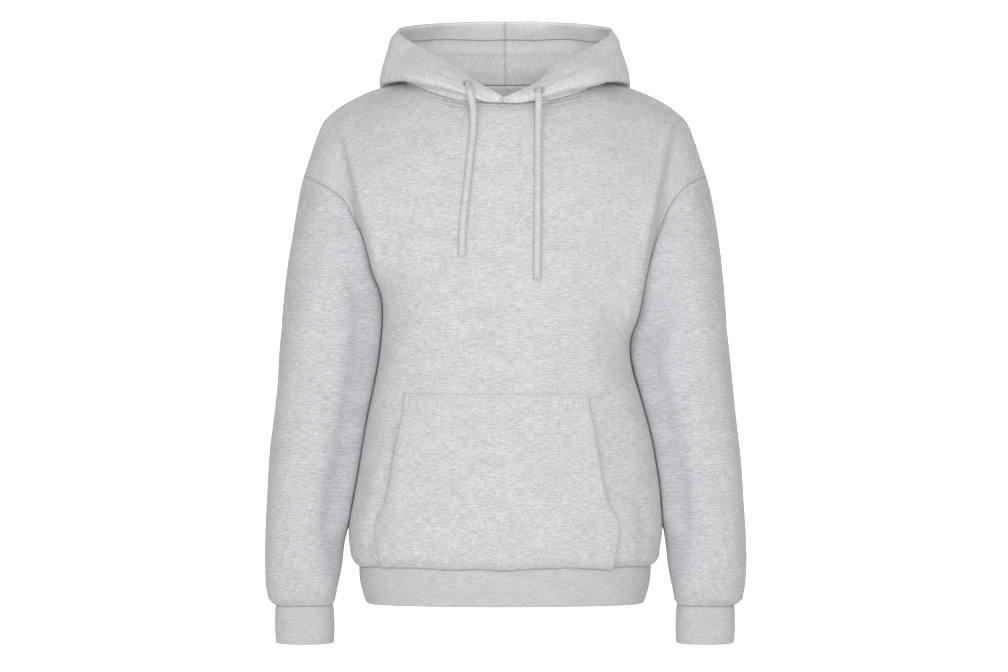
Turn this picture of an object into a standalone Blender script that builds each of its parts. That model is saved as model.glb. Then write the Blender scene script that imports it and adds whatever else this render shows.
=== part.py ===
"""Pullover hoodie of brushed fleece, filled out as it is worn by nobody.

Sizes are in millimetres up to the last step, which writes metres. The front of the
garment looks along -Y, its left and right halves are at -X and +X, and the origin
lies between the two neck points, where the shoulders carry it.

Each cut piece is a closed wall of cloth. Its outer side is a grid of points: guide
lines run up the piece, smooth curves cross them, and the wall's inner side is the
same grid moved in by the cloth's thickness.
"""
import math

import bmesh
import bpy
import numpy as np

# ---------------------------------------------------------------- sizes, mm
CLOTH = 2.4            # brushed fleece, one layer
RIB_CLOTH = 2.6        # double rib knit of the hem and cuffs, between its ribs
RIB_RISE = 0.6         # how far a rib stands above the knit between ribs
SEAM_PULL = 0.2        # each piece stops this far short of its seam line
CORD_CLEAR = 0.6       # between a cord and the cloth it lies on
CORD_RADIUS = 4.2      # flat-braided drawcord, drawn round

# columns and rows of cloth cells in each piece
NECK_COLS = 6          # half of the neck, front or back
SHOULDER_COLS = 6      # neck point to the end of the drop shoulder
SIDE_ROWS = 12         # hem seam to armpit
ARM_ROWS = 11          # armpit to the end of the drop shoulder
HALF_COLS = NECK_COLS + SHOULDER_COLS

# the neck line, an ellipse seen from above
NECK_HALF_WIDTH = 128.0
NECK_FRONT = -105.0
NECK_BACK = 75.0
NECK_FRONT_Z = -35.0
NECK_BACK_Z = 3.0
NECK_POINT_Z = 0.5

HEM_Z = -622.0
ARMPIT = (162.0, 0.0, -290.5)

# torso below the armpits: one row for each level; squareness 2 is an ellipse
#         z    half_width  front   back  squareness
TORSO = [
    (-622.0, 190.0, 122.0, 116.0, 2.4),
    (-616.0, 196.5, 129.0, 122.0, 2.4),
    (-600.0, 201.0, 135.0, 127.0, 2.4),
    (-570.0, 202.5, 138.0, 130.0, 2.4),
    (-545.0, 198.5, 138.0, 130.0, 2.4),
    (-480.0, 187.0, 134.0, 126.0, 2.45),
    (-430.0, 178.0, 131.0, 122.0, 2.5),
    (-387.0, 170.0, 129.0, 119.0, 2.6),
    (-345.0, 162.5, 128.0, 118.0, 2.75),
    (-320.0, 160.0, 127.5, 118.0, 2.85),
    (-298.0, 158.8, 127.5, 118.5, 2.95),
    (-290.5, 159.0, 127.5, 119.0, 3.0),
]
ROW_Z = [-622.0, -617.0, -606.0, -585.0, -555.0, -520.0, -482.0, -443.0,
         -404.0, -366.0, -328.0, -298.0, -290.5]

# chest and back above the armpits: one row for each level, from low to high
#     centre line, below the neck point, shoulder, edge of the arm fold,
#     bottom of the arm fold, armhole seam
CHEST = [
    ((0, -128, -235), (93, -121, -240), (138, -108, -239), (169, -80, -240),
     (172.3, -53, -240), (176, -46, -240)),
    ((0, -128, -180), (99, -118, -190), (150, -104, -188), (182, -84, -189),
     (187, -69, -191), (191, -61, -190)),
    ((0, -126, -130), (105, -114, -140), (160, -98, -146), (194, -80, -150),
     (201, -64, -154), (207, -59, -155)),
    ((0, -121, -88), (112, -99, -86), (174, -79, -102), (204, -66, -112),
     (221, -54, -126), (234, -46, -136)),
    ((0, -115, -58), (123, -57, -24), (191, -42, -56), (217, -38, -68),
     (241, -27, -95), (253, -22, -126)),
]
BACK = [
    ((0, 120, -235), (94, 112, -240), (138, 99, -239), (168, 75, -240),
     (172.3, 52, -240), (176, 45, -240)),
    ((0, 121, -180), (99, 109, -188), (150, 95, -188), (181, 77, -189),
     (187, 66, -191), (191, 59, -190)),
    ((0, 117, -130), (105, 103, -138), (160, 89, -145), (193, 73, -149),
     (201, 61, -154), (207, 57, -155)),
    ((0, 108, -85), (112, 88, -86), (174, 70, -100), (204, 59, -110),
     (221, 50, -125), (234, 43, -136)),
    ((0, 96, -38), (122, 54, -24), (191, 38, -55), (217, 34, -66),
     (241, 25, -94), (253, 20, -126)),
]
# shoulder seam from the neck point to the end of the drop shoulder
RIDGE = [(128, 0, 0.5), (162, 0, -7), (194, 0, -20), (219, 0, -35), (236, 0, -51),
         (246, 0, -74), (256, 0, -104), (262, 0, -122)]
GUIDE_COLS = [0, 6, 8, 10, 11, 12]

# sleeve below the armpit: one row for each level
#          z     centre_x  centre_y  half_width  half_depth
SLEEVE = [
    (-320.0, 227.0, -1.0, 61.5, 86.0),
    (-352.0, 230.5, -2.0, 61.5, 85.5),
    (-387.0, 235.0, -3.0, 60.5, 84.0),
    (-425.0, 240.5, -5.0, 59.0, 81.0),
    (-477.0, 247.5, -7.0, 57.0, 76.0),
    (-544.0, 256.0, -10.0, 52.5, 69.5),
    (-589.0, 259.5, -12.0, 51.5, 64.0),
    (-633.0, 261.5, -14.0, 49.5, 56.0),
    (-660.0, 263.0, -14.0, 45.5, 47.0),
    (-673.0, 262.5, -14.0, 41.5, 38.0),
    (-678.0, 260.5, -14.0, 37.5, 32.0),
]
SLEEVE_POWER = 2.45
SLEEVE_Z = [-320.0, -350.0, -384.0, -420.0, -456.0, -494.0, -532.0, -570.0,
            -606.0, -638.0, -662.0, -673.0, -678.0]
# the right arm fold hangs lower than the left one
#     level    drop
SETTLE = [(-60.0, 0.0), (-118.0, 12.0), (-169.0, 30.0), (-204.0, 48.0),
          (-242.0, 58.0), (-275.0, 55.0), (-308.0, 46.0), (-350.0, 33.0),
          (-400.0, 20.0), (-450.0, 10.0), (-500.0, 3.0), (-540.0, 0.0)]
SETTLE_FROM = (95.0, 160.0)    # across the chest, where the drop grows
SETTLE_TO = (186.0, 240.0)     # across the sleeve, where it fades out

# how far the columns close up on the side seam at the armpit, in shares
SIDE_CROWD = np.array([0, 0, 0, 0, 0, 0, 0, 0, 0.005, 0.01, 0.02, 0.045, 0])
CAP_STEPS = [0.0, 0.1, 0.24, 0.4, 0.57, 0.74, 0.88, 1.0]
# how the sleeve leaves the armhole seam: from armpit up to the shoulder's end
#    share of the way, direction, length of the pull
SLEEVE_LEAVE = [
    (0.00, (1.0, 0.0, 0.0), 12.0),
    (0.24, (0.95, -0.15, -0.25), 45.0),
    (0.48, (0.72, -0.55, -0.43), 90.0),
    (0.66, (0.64, -0.35, -0.68), 130.0),
    (0.84, (0.44, -0.10, -0.89), 170.0),
    (1.00, (0.28, 0.0, -0.96), 190.0),
]

CUFF_TOP = -678.4
CUFF_BOTTOM = -727.0
#            share down, centre_x, centre_y, half_width, half_depth
CUFF = [(0.0, 260.0, -14.0, 37.2, 31.6),
        (0.5, 259.6, -14.5, 38.2, 31.0),
        (1.0, 259.2, -15.0, 37.4, 30.0)]
CUFF_RIBS = 40

#      share down, half_width, front, back
HEM = [(0.0, 189.6, 121.6, 115.6),
       (0.5, 187.5, 121.5, 115.0),
       (1.0, 180.5, 117.0, 110.5)]
HEM_BOTTOM = -671.5
HEM_RIBS = 150

# hood, half of it: one row for each step from the neck seam to the rim
#   share,  back centre,     back,            back corner,    side,
#           front side,      front,           front centre
HOOD = [
    (0.00, (0, 75, 3), (90, 53, 2), (124, 19, 1), (128, 0, 0.5),
     (111, -52, -11), (64, -91, -29), (0, -105, -35)),
    (0.09, (0, 79, 31), (92, 57, 27), (128, 22, 12), (136, 2, 4),
     (116, -57, -8), (67, -97, -27), (0, -108, -36)),
    (0.13, (0, 88, 43), (96, 66, 38), (133, 27, 17), (143, 4, 4),
     (120, -60, -6.5), (70, -101, -24), (0, -110, -36.5)),
    (0.18, (0, 99, 34), (103, 78, 31), (140, 34, 15), (150, 6, 2),
     (124, -62, -5), (72, -104, -21), (0, -112, -36.5)),
    (0.30, (0, 112, -25), (110, 96, -10), (150, 50, 2), (158, 9, -1.5),
     (129, -62, 1), (75, -107, -15), (0, -115, -36)),
    (0.42, (0, 124, -105), (114, 112, -64), (157, 66, -12), (163, 13, 1.5),
     (132, -59, 8), (76, -106, -9), (0, -117, -35)),
    (0.46, (0, 131, -148), (116, 121, -92), (160, 76, -17), (163.5, 15, 5),
     (132.8, -57, 11), (76, -105, -6.5), (0, -117.5, -34.5)),
    (0.50, (0, 149, -170), (117, 137, -108), (161.5, 85, -15), (163, 16, 9),
     (133, -55, 14), (76, -104, -4), (0, -118, -34)),
    (0.55, (0, 169, -163), (118, 152, -102), (162, 92, -7), (162, 17.5, 13.5),
     (133, -52, 17.5), (75.5, -102, -2), (0, -118.5, -33.5)),
    (0.60, (0, 182, -138), (118.5, 163, -84), (162, 97, 3), (161, 19, 19),
     (132.5, -49, 21), (75, -99, 0), (0, -119, -33)),
    (0.72, (0, 194, -60), (118, 172, -25), (160, 102, 25), (157, 22, 33),
     (130, -42, 28), (72, -92, 5), (0, -120, -31.5)),
    (0.84, (0, 186, 15), (116, 166, 30), (155, 98, 48), (152.5, 25, 48),
     (125.5, -33, 35.5), (68, -84, 9), (0, -120.5, -30)),
    (0.93, (0, 165, 66), (109, 147, 68), (149, 87, 67), (147.5, 28, 62),
     (119.5, -26, 42), (64, -77, 12), (0, -121, -29)),
    (1.00, (0, 140, 95), (98, 126, 91), (141, 75, 79), (141, 30, 69),
     (113, -21, 45), (60, -71, 14), (0, -121, -28)),
]
HOOD_COLS = [0, 3, 5, 6, 8, 10, 12]
HOOD_STEPS = [0.0, 0.045, 0.09, 0.13, 0.18, 0.24, 0.30, 0.36, 0.42, 0.46, 0.50,
              0.55, 0.60, 0.66, 0.72, 0.78, 0.84, 0.92, 1.0]

# kangaroo pocket: one row for each level
#          z    half_width   lift at its side edges
POCKET = [
    (-621.6, 146.0, 0.7),
    (-606.0, 148.5, 0.7),
    (-585.0, 152.0, 0.7),
    (-571.0, 153.0, 0.7),
    (-562.0, 150.0, 1.4),
    (-543.0, 139.0, 3.0),
    (-522.0, 132.0, 4.5),
    (-495.0, 127.0, 5.5),
    (-465.0, 122.0, 5.5),
    (-437.0, 118.0, 4.0),
    (-418.0, 115.5, 2.0),
    (-403.0, 116.5, 0.7),
]
POCKET_Z = [-621.6, -617.0, -606.0, -585.0, -571.0, -555.0, -538.0, -520.0, -501.0,
            -482.0, -460.0, -440.0, -421.0, -403.0]
POCKET_CENTRE = -11.0
POCKET_COLS = 16
POCKET_LIFT = 0.7      # how far a sewn edge stands off the panel
POCKET_BELLY = 2.2     # how far its middle stands off more

# drawcords: where each hangs, x and z, from its eyelet to its free end
CORD_LEFT = [(-47.5, -10.5), (-43.5, -25.0), (-40.5, -41.0), (-40.0, -67.0),
             (-43.5, -102.0), (-47.5, -141.0), (-51.3, -173.0), (-53.6, -204.0),
             (-54.0, -229.0)]
CORD_RIGHT = [(43.0, -18.5), (42.3, -33.0), (41.9, -50.0), (41.5, -95.0),
              (41.2, -150.0), (40.6, -208.0), (40.0, -257.5)]

FLEECE = (0.60, 0.60, 0.61, 1.0)
FLEECE_SLEEVE = (0.57, 0.57, 0.59, 1.0)
RIB_GREY = (0.56, 0.56, 0.57, 1.0)
CORD_GREY = (0.58, 0.58, 0.60, 1.0)


# ---------------------------------------------------------------- curves
def spline(knots, values, at):
    """A smooth curve through the values, read at any places between the knots."""
    knots = np.asarray(knots, float)
    values = np.asarray(values, float)
    flat = values.reshape(len(knots), -1)
    step = np.diff(knots)
    slope = np.diff(flat, axis=0) / step[:, None]
    tangent = np.empty_like(flat)
    tangent[0] = slope[0]
    tangent[-1] = slope[-1]
    weight = (step[1:] / (step[1:] + step[:-1]))[:, None]
    tangent[1:-1] = slope[:-1] * weight + slope[1:] * (1.0 - weight)
    at = np.clip(np.atleast_1d(np.asarray(at, float)), knots[0], knots[-1])
    cell = np.clip(np.searchsorted(knots, at, side="right") - 1, 0, len(step) - 1)
    width = step[cell][:, None]
    s = ((at - knots[cell])[:, None]) / width
    value = ((2 * s**3 - 3 * s**2 + 1) * flat[cell]
             + (s**3 - 2 * s**2 + s) * width * tangent[cell]
             + (3 * s**2 - 2 * s**3) * flat[cell + 1]
             + (s**3 - s**2) * width * tangent[cell + 1])
    return value.reshape((len(at),) + values.shape[1:])


def lengths(points):
    """Distance along a run of points, from its first."""
    steps = np.linalg.norm(np.diff(points, axis=0), axis=1)
    return np.concatenate([[0.0], np.cumsum(steps)])


def evenly(points, shares):
    """Points at given shares of the length of a finely drawn curve."""
    along = lengths(points)
    targets = np.asarray(shares, float) * along[-1]
    return np.stack([np.interp(targets, along, points[:, k]) for k in range(3)], 1)


def arc(half_width, depth, power, shares):
    """Half of a section from its centre line to its side, z left at nought."""
    angle = np.linspace(0.0, math.pi / 2, 160)
    x = half_width * np.sin(angle) ** (2.0 / power)
    y = depth * np.cos(angle) ** (2.0 / power)
    return evenly(np.stack([x, y, np.zeros_like(x)], 1), shares)


def torso_sizes(z):
    """Half width, front depth, back depth and squareness of the torso at a level."""
    table = np.array(TORSO)
    return spline(table[:, 0], table[:, 1:], z)[0]


def neck_line(front, count):
    """Neck seam from its centre line to the neck point."""
    angle = np.linspace(0.0, math.pi / 2, count + 1)
    depth = NECK_FRONT if front else NECK_BACK
    low = NECK_FRONT_Z if front else NECK_BACK_Z
    power = 2.6 if front else 3.0
    x = NECK_HALF_WIDTH * np.sin(angle)
    y = depth * np.cos(angle)
    z = low + (NECK_POINT_Z - low) * np.sin(angle) ** power
    return np.stack([x, y, z], 1)


# ---------------------------------------------------------------- garment skin
def body_half(front):
    """Half of the front or back, at +X, as rows of points from hem to shoulder."""
    sign = -1.0 if front else 1.0
    rows = []
    for index, z in enumerate(ROW_Z):
        width, depth_front, depth_back, power = torso_sizes(z)
        near = min(max((index - 6) / 5.0, 0.0), 1.0)
        near = near * near * (3 - 2 * near)
        shares = np.arange(HALF_COLS + 1) / HALF_COLS
        shares += near * SIDE_CROWD
        row = arc(width, sign * (depth_front if front else depth_back),
                  power, shares)
        row[:, 2] = z
        rows.append(row)
    rows[-1][-1] = ARMPIT

    levels = [rows[-2], rows[-1]]
    for level in (CHEST if front else BACK):
        half = np.array(level, float)
        other = half[1:][::-1] * (-1, 1, 1)
        knots = [-c for c in GUIDE_COLS[:0:-1]] + GUIDE_COLS
        whole = spline(knots, np.concatenate([other, half]), np.arange(HALF_COLS + 1))
        levels.append(whole)
    ridge = np.array(RIDGE, float)
    fine = spline(lengths(ridge), ridge, np.linspace(0, lengths(ridge)[-1], 200))
    shoulder = evenly(fine, np.linspace(0, 1, SHOULDER_COLS + 1))
    levels.append(np.concatenate([neck_line(front, NECK_COLS), shoulder[1:]]))
    levels = np.array(levels)

    upper = np.empty((ARM_ROWS + 1, HALF_COLS + 1, 3))
    for col in range(HALF_COLS + 1):
        line = levels[:, col]
        knots = lengths(line)
        fine = spline(knots, line, np.linspace(knots[1], knots[-1], 300))
        upper[:, col] = evenly(fine, np.linspace(0, 1, ARM_ROWS + 1))
    return np.concatenate([np.array(rows)[:-1], upper])


def mirrored(points):
    """The same points on the other side of the centre plane."""
    return points * (-1, 1, 1)


def ease(value, low, high):
    """Smooth step from nought at low to one at high."""
    share = np.clip((value - low) / (high - low), 0.0, 1.0)
    return share * share * (3.0 - 2.0 * share)


def settled(points):
    """The garment with the cloth about its right armpit let down a little."""
    moved = points.copy()
    table = np.array(SETTLE)[::-1]
    flat = moved.reshape(-1, 3)
    amount = spline(table[:, 0], table[:, 1:], flat[:, 2])[:, 0]
    inside = (flat[:, 2] < SETTLE[0][0]) & (flat[:, 2] > SETTLE[-1][0])
    across = ease(flat[:, 0], *SETTLE_FROM) * (1.0 - ease(flat[:, 0], *SETTLE_TO))
    flat[:, 2] -= np.where(inside, amount, 0.0) * across
    return moved


def whole_panel(half):
    """Rows of a half at +X joined to its own mirror image."""
    return np.concatenate([mirrored(half[:, :0:-1]), half], axis=1)


def sleeve_rings(front, back):
    """The +X sleeve as rings from the armhole seam to the cuff seam."""
    seam_front = front[SIDE_ROWS:, -1]
    seam_back = back[SIDE_ROWS:, -1]
    around = 2 * ARM_ROWS
    seam = np.concatenate([seam_front, seam_back[-2:0:-1]])
    sections = np.array(SLEEVE)
    rings = []
    for z in SLEEVE_Z:
        cx, cy, width, depth = spline(sections[:, 0][::-1], sections[::-1, 1:], z)[0]
        quarter = arc(depth, width, SLEEVE_POWER, np.linspace(0, 1, 101))
        loop = np.concatenate([
            np.stack([-quarter[:, 1], -quarter[:, 0]], 1),
            np.stack([quarter[:, 1], -quarter[:, 0]], 1)[-2::-1],
            np.stack([quarter[:, 1], quarter[:, 0]], 1)[1:],
            np.stack([-quarter[:, 1], quarter[:, 0]], 1)[-2::-1],
        ])
        loop = np.concatenate([loop, np.zeros((len(loop), 1))], 1)
        ring = evenly(loop, np.arange(around) / around)
        ring = ring + (cx, cy, z)
        rings.append(ring)
    leave = np.array([row[0] for row in SLEEVE_LEAVE])
    ways = np.array([list(row[1]) + [row[2]] for row in SLEEVE_LEAVE])
    share = np.array([min(m, around - m) / ARM_ROWS for m in range(around)])
    way = spline(leave, ways, share)
    direction = way[:, :3] / np.linalg.norm(way[:, :3], axis=1)[:, None]
    direction[ARM_ROWS + 1:, 1] *= -1.0
    pull = direction * way[:, 3:]
    drop = np.stack([np.zeros(around), np.zeros(around), -(18 + 90 * share)], 1)
    cap = []
    for s in CAP_STEPS[:-1]:
        cap.append((2 * s**3 - 3 * s**2 + 1) * seam
                   + (s**3 - 2 * s**2 + s) * pull
                   + (3 * s**2 - 2 * s**3) * rings[0]
                   + (s**3 - s**2) * drop)
    return np.array(cap + rings)


def hood_half():
    """Half of the hood at +X: rows from the neck seam to the rim."""
    steps = [row[0] for row in HOOD]
    lines = np.array([row[1:] for row in HOOD], float)
    stations = spline(steps, lines, HOOD_STEPS)
    cols = 2 * NECK_COLS + 1
    rows = np.empty((len(HOOD_STEPS), cols, 3))
    for index, line in enumerate(stations):
        before = line[1] * (-1, 1, 1)
        after = line[-2] * (-1, 1, 1)
        knots = [-HOOD_COLS[1]] + HOOD_COLS + [2 * HOOD_COLS[-1] - HOOD_COLS[-2]]
        rows[index] = spline(knots, np.concatenate([[before], line, [after]]),
                             np.arange(cols))
    back = neck_line(False, NECK_COLS)
    front = neck_line(True, NECK_COLS)
    rows[0] = np.concatenate([back, front[-2::-1]])
    rows[:, 0, 0] = 0.0
    rows[:, -1, 0] = 0.0
    return rows


# ---------------------------------------------------------------- walls of cloth
def grid_faces(rows, cols, ring):
    """Corner numbers of a grid's faces, row by row."""
    count = cols if ring else cols - 1
    return [(r * cols + c, r * cols + (c + 1) % cols,
             (r + 1) * cols + (c + 1) % cols, (r + 1) * cols + c)
            for r in range(rows - 1) for c in range(count)]


def skin_normals(skins):
    """Outward directions on all pieces together, so that seams share theirs.

    Returns one array for each piece, with each direction already lengthened where
    the cloth turns sharply, so that a wall keeps its thickness there.
    """
    total = {}
    for points, ring, flip in skins.values():
        rows, cols = points.shape[:2]
        flat = points.reshape(-1, 3)
        for face in grid_faces(rows, cols, ring):
            a, b, c, d = flat[list(face)]
            normal = np.cross(c - a, d - b)
            if flip:
                normal = -normal
            for corner in (a, b, c, d):
                key = tuple(np.round(corner, 2) + 0.0)
                total.setdefault(key, []).append(normal)
    result = {}
    for name, (points, ring, flip) in skins.items():
        out = np.empty_like(points)
        flat = out.reshape(-1, 3)
        for index, corner in enumerate(points.reshape(-1, 3)):
            faces = np.array(total[tuple(np.round(corner, 2) + 0.0)])
            size = np.linalg.norm(faces, axis=1)
            faces = faces[size > 1e-6]
            unit = faces / np.linalg.norm(faces, axis=1)[:, None]
            mean = faces.sum(axis=0)
            mean /= np.linalg.norm(mean)
            spread = max(float(np.mean(unit @ mean)), 0.62)
            flat[index] = mean / spread
        result[name] = out
    return result


def pulled(points, ring, normals, turns=()):
    """The grid with its free edges drawn back square to the seams' middle plane."""
    rows, cols = points.shape[:2]
    moved = points.copy()

    def draw(edge, inner, normal, closed):
        if closed:
            along = np.roll(edge, -1, axis=0) - np.roll(edge, 1, axis=0)
        else:
            along = np.gradient(edge, axis=0)
        across = np.cross(along, normal)
        across /= np.linalg.norm(across, axis=1)[:, None] + 1e-9
        side = np.sign(((inner - edge) * across).sum())
        return SEAM_PULL * across * side

    moved[0] += draw(points[0], points[1], normals[0], ring)
    stops = [0, *turns, cols - 1]
    for start, end in zip(stops, stops[1:]):
        run = slice(start, end + 1)
        moved[-1, run] += draw(points[-1, run], points[-2, run], normals[-1, run], ring)
    if not ring:
        moved[:, 0] += draw(points[:, 0], points[:, 1], normals[:, 0], False)
        moved[:, -1] += draw(points[:, -1], points[:, -2], normals[:, -1], False)
    return moved


def wall(name, outer, inner, ring, colour, sharp=50.0):
    """A closed wall between an outer and an inner grid of points."""
    rows, cols = outer.shape[:2]
    mesh = bpy.data.meshes.new(name)
    bm = bmesh.new()
    order = bm.verts.layers.int.new("place")
    across = cols + 1 if ring else cols
    made = bmesh.ops.create_grid(bm, x_segments=across - 1, y_segments=rows - 1,
                                 size=1.0)["verts"]
    loops = [made[r * across:(r + 1) * across] for r in range(rows)]
    if ring:
        bmesh.ops.weld_verts(bm, targetmap={loop[-1]: loop[0] for loop in loops})
        loops = [loop[:-1] for loop in loops]
    for r, loop in enumerate(loops):
        for c, vert in enumerate(loop):
            vert[order] = r * cols + c
    bmesh.ops.extrude_face_region(bm, geom=list(bm.faces), use_keep_orig=True)
    bm.verts.ensure_lookup_table()
    outside = {v for loop in loops for v in loop}
    flat_out = outer.reshape(-1, 3)
    flat_in = inner.reshape(-1, 3)
    for vert in bm.verts:
        source = flat_out if vert in outside else flat_in
        vert.co = source[vert[order]] * 0.001
    edge_faces = [f for f in bm.faces if 0 < sum(v in outside for v in f.verts) < 4]
    for face in edge_faces:
        far = max(face.verts, key=lambda v: v.co.z + 0.317 * v.co.y + 0.171 * abs(v.co.x)
                  if v in outside else -9.0)
        opposite = [v for v in face.verts if v not in outside
                    and v[order] != far[order]][0]
        bmesh.utils.face_split(face, far, opposite)
    bm.verts.layers.int.remove(order)
    bmesh.ops.recalc_face_normals(bm, faces=list(bm.faces))
    if bm.calc_volume(signed=True) < 0:
        bmesh.ops.reverse_faces(bm, faces=list(bm.faces))
    bm.to_mesh(mesh)
    bm.free()
    return finished(name, mesh, colour, 0.95, sharp)


def finished(name, data, colour, roughness, sharp=50.0):
    """The named object with its own material, shaded smooth."""
    material = bpy.data.materials.new(name + "_cloth")
    material.use_nodes = True
    shader = material.node_tree.nodes["Principled BSDF"]
    shader.inputs["Base Color"].default_value = colour
    shader.inputs["Roughness"].default_value = roughness
    shader.inputs["Metallic"].default_value = 0.0
    material.diffuse_color = colour
    data.materials.append(material)
    if isinstance(data, bpy.types.Mesh):
        data.shade_smooth()
        data.set_sharp_from_angle(angle=math.radians(sharp))
    thing = bpy.data.objects.new(name, data)
    bpy.context.scene.collection.objects.link(thing)
    return thing


# ---------------------------------------------------------------- ribbed bands
def ribbed_band(name, sections, top, bottom, ribs, colour):
    """A closed band; sections gives the share down and a function of the share."""
    rows = []
    inner_rows = []
    points = 2 * ribs
    for share, outline in sections:
        z = top + (bottom - top) * share
        loop = outline(points)
        following = np.roll(loop, -1, axis=0) - np.roll(loop, 1, axis=0)
        out = np.stack([following[:, 1], -following[:, 0]], 1)
        out /= np.linalg.norm(out, axis=1)[:, None]
        if (out * (loop - loop.mean(axis=0))).sum() < 0:
            out = -out
        rise = np.where(np.arange(points) % 2 == 0, RIB_RISE, 0.0)[:, None]
        level = np.full((points, 1), z)
        rows.append(np.concatenate([loop + out * rise, level], 1))
        inner_rows.append(np.concatenate([loop - out * RIB_CLOTH, level], 1))
    return wall(name, np.array(rows), np.array(inner_rows), True, colour, 12.0)


def oval(half_width, front, back, power, count, centre=(0.0, 0.0)):
    """A closed section with its own front and back depth, evenly divided."""
    fine = np.linspace(0, 1, 201)
    ahead = arc(half_width, -front, power, fine)[:, :2]
    behind = arc(half_width, back, power, fine)[:, :2]
    loop = np.concatenate([ahead, behind[-2::-1], (behind * (-1, 1))[1:],
                           (ahead * (-1, 1))[-2::-1]])
    loop = np.concatenate([loop, np.zeros((len(loop), 1))], 1)
    return evenly(loop, np.arange(count) / count)[:, :2] + centre


# ---------------------------------------------------------------- pocket, cords
def front_y(x, z):
    """Depth of the lower front at a place across and up it."""
    width, depth, _, power = torso_sizes(z)
    return -depth * (1.0 - abs(x / width) ** power) ** (1.0 / power)


def pocket_grids():
    """Outer and inner points of the pocket, from the front's own form."""
    inner = []
    outer = []
    table = np.array(POCKET)
    for z in POCKET_Z:
        half_width, edge = spline(table[:, 0], table[:, 1:], z)[0]
        down = (z - POCKET_Z[0]) / (POCKET_Z[-1] - POCKET_Z[0])
        row_in = []
        row_out = []
        for c in range(POCKET_COLS + 1):
            u = 2.0 * c / POCKET_COLS - 1.0
            x = POCKET_CENTRE + u * half_width
            y = front_y(x, z)
            slope = (front_y(x + 1, z) - front_y(x - 1, z)) / 2.0
            rise = (front_y(x, z + 0.4) - front_y(x, z - 0.4)) / 0.8
            normal = np.array([slope, -1.0, rise])
            normal /= np.linalg.norm(normal)
            belly = POCKET_BELLY * (1 - u * u) * math.sin(math.pi * down)
            side = (edge - POCKET_LIFT) * abs(u) ** 3
            lift = POCKET_LIFT + belly + side
            base = np.array([x, y, z])
            row_in.append(base + normal * lift)
            row_out.append(base + normal * (lift + CLOTH))
        inner.append(row_in)
        outer.append(row_out)
    return np.array(outer), np.array(inner)


def skin_hit(skins, x, z):
    """The outermost front surface under a place: its depth and outward direction."""
    best = 0.0
    way = np.array([0.0, -1.0, 0.0])
    for points in skins:
        rows, cols = points.shape[:2]
        flat = points.reshape(-1, 3)
        for face in grid_faces(rows, cols, False):
            quad = flat[list(face)]
            for tri in (quad[[0, 1, 2]], quad[[0, 2, 3]]):
                (x1, z1), (x2, z2), (x3, z3) = tri[:, [0, 2]]
                area = (z2 - z3) * (x1 - x3) + (x3 - x2) * (z1 - z3)
                if abs(area) < 1e-9:
                    continue
                a = ((z2 - z3) * (x - x3) + (x3 - x2) * (z - z3)) / area
                b = ((z3 - z1) * (x - x3) + (x1 - x3) * (z - z3)) / area
                c = 1.0 - a - b
                y = float(a * tri[0, 1] + b * tri[1, 1] + c * tri[2, 1])
                if min(a, b, c) >= -1e-6 and y < best:
                    best = y
                    way = np.cross(tri[1] - tri[0], tri[2] - tri[0])
    if way[1] > 0:
        way = -way
    return best, way / np.linalg.norm(way)


def drawcord(name, route, skins):
    """A limp cord that leaves the hood and lies down the chest to its free end."""
    stops = np.array(route)
    knots = lengths(stops)
    stops = spline(knots, stops, np.linspace(0, knots[-1], 36))
    rest = []
    for x, z in stops:
        near = [skin_hit(skins, x + dx, z + dz)[0]
                for dx in (-CORD_RADIUS, 0.0, CORD_RADIUS) for dz in (-5.0, 0.0, 5.0)]
        rest.append(min(near) - CORD_RADIUS - CORD_CLEAR)
    rest = np.array(rest)
    depth = rest.copy()
    for _ in range(60):
        middle = (depth[:-2] + depth[2:]) / 2.0
        depth[1:-1] = np.minimum(rest[1:-1], middle)
        depth[-1] = min(rest[-1], depth[-2])
    hang = np.stack([stops[:, 0], depth, stops[:, 1]], 1)
    x, z = route[0]
    y, way = skin_hit(skins, x, z)
    hole = np.array([x, y, z])
    way = np.array([way[0] * 0.3, -1.0, 0.2])
    way /= np.linalg.norm(way)
    out = 0.5
    side = np.cross(way, (0.0, 0.0, 1.0))
    side /= np.linalg.norm(side)
    down = np.cross(way, side)
    turns = np.linspace(0, 2 * math.pi, 9)[:-1]
    rim = [(side * math.cos(a) + down * math.sin(a)) * CORD_RADIUS for a in turns]
    while out < 8.0:
        spots = [hole + way * out + edge for edge in rim]
        if min(skin_hit(skins, s[0], s[2])[0] - s[1] for s in spots) > 0.5:
            break
        out += 0.15
    start = [hole + way * out, hole + way * (out + 2.5)]
    below = hang[hang[:, 2] < route[0][1] - 8.0]
    line = np.concatenate([start, below])
    knots = lengths(line)
    fine = spline(knots, line, np.linspace(0, knots[-1], 400))
    whole = lengths(fine)[-1]
    bend = 17.5
    count = int((whole - bend) / (CORD_RADIUS * 2.4))
    stations = np.concatenate([np.linspace(0, bend, 6)[:-1],
                               np.linspace(bend, whole, count + 1)])
    points = evenly(fine, stations / whole)
    curve = bpy.data.curves.new(name, "CURVE")
    curve.dimensions = "3D"
    curve.bevel_depth = CORD_RADIUS * 0.001
    curve.bevel_resolution = 2
    curve.use_fill_caps = True
    run = curve.splines.new("POLY")
    run.points.add(len(points) - 1)
    for place, point in zip(run.points, points):
        place.co = (*(point * 0.001), 1.0)
    return finished(name, curve, CORD_GREY, 0.9)


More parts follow.
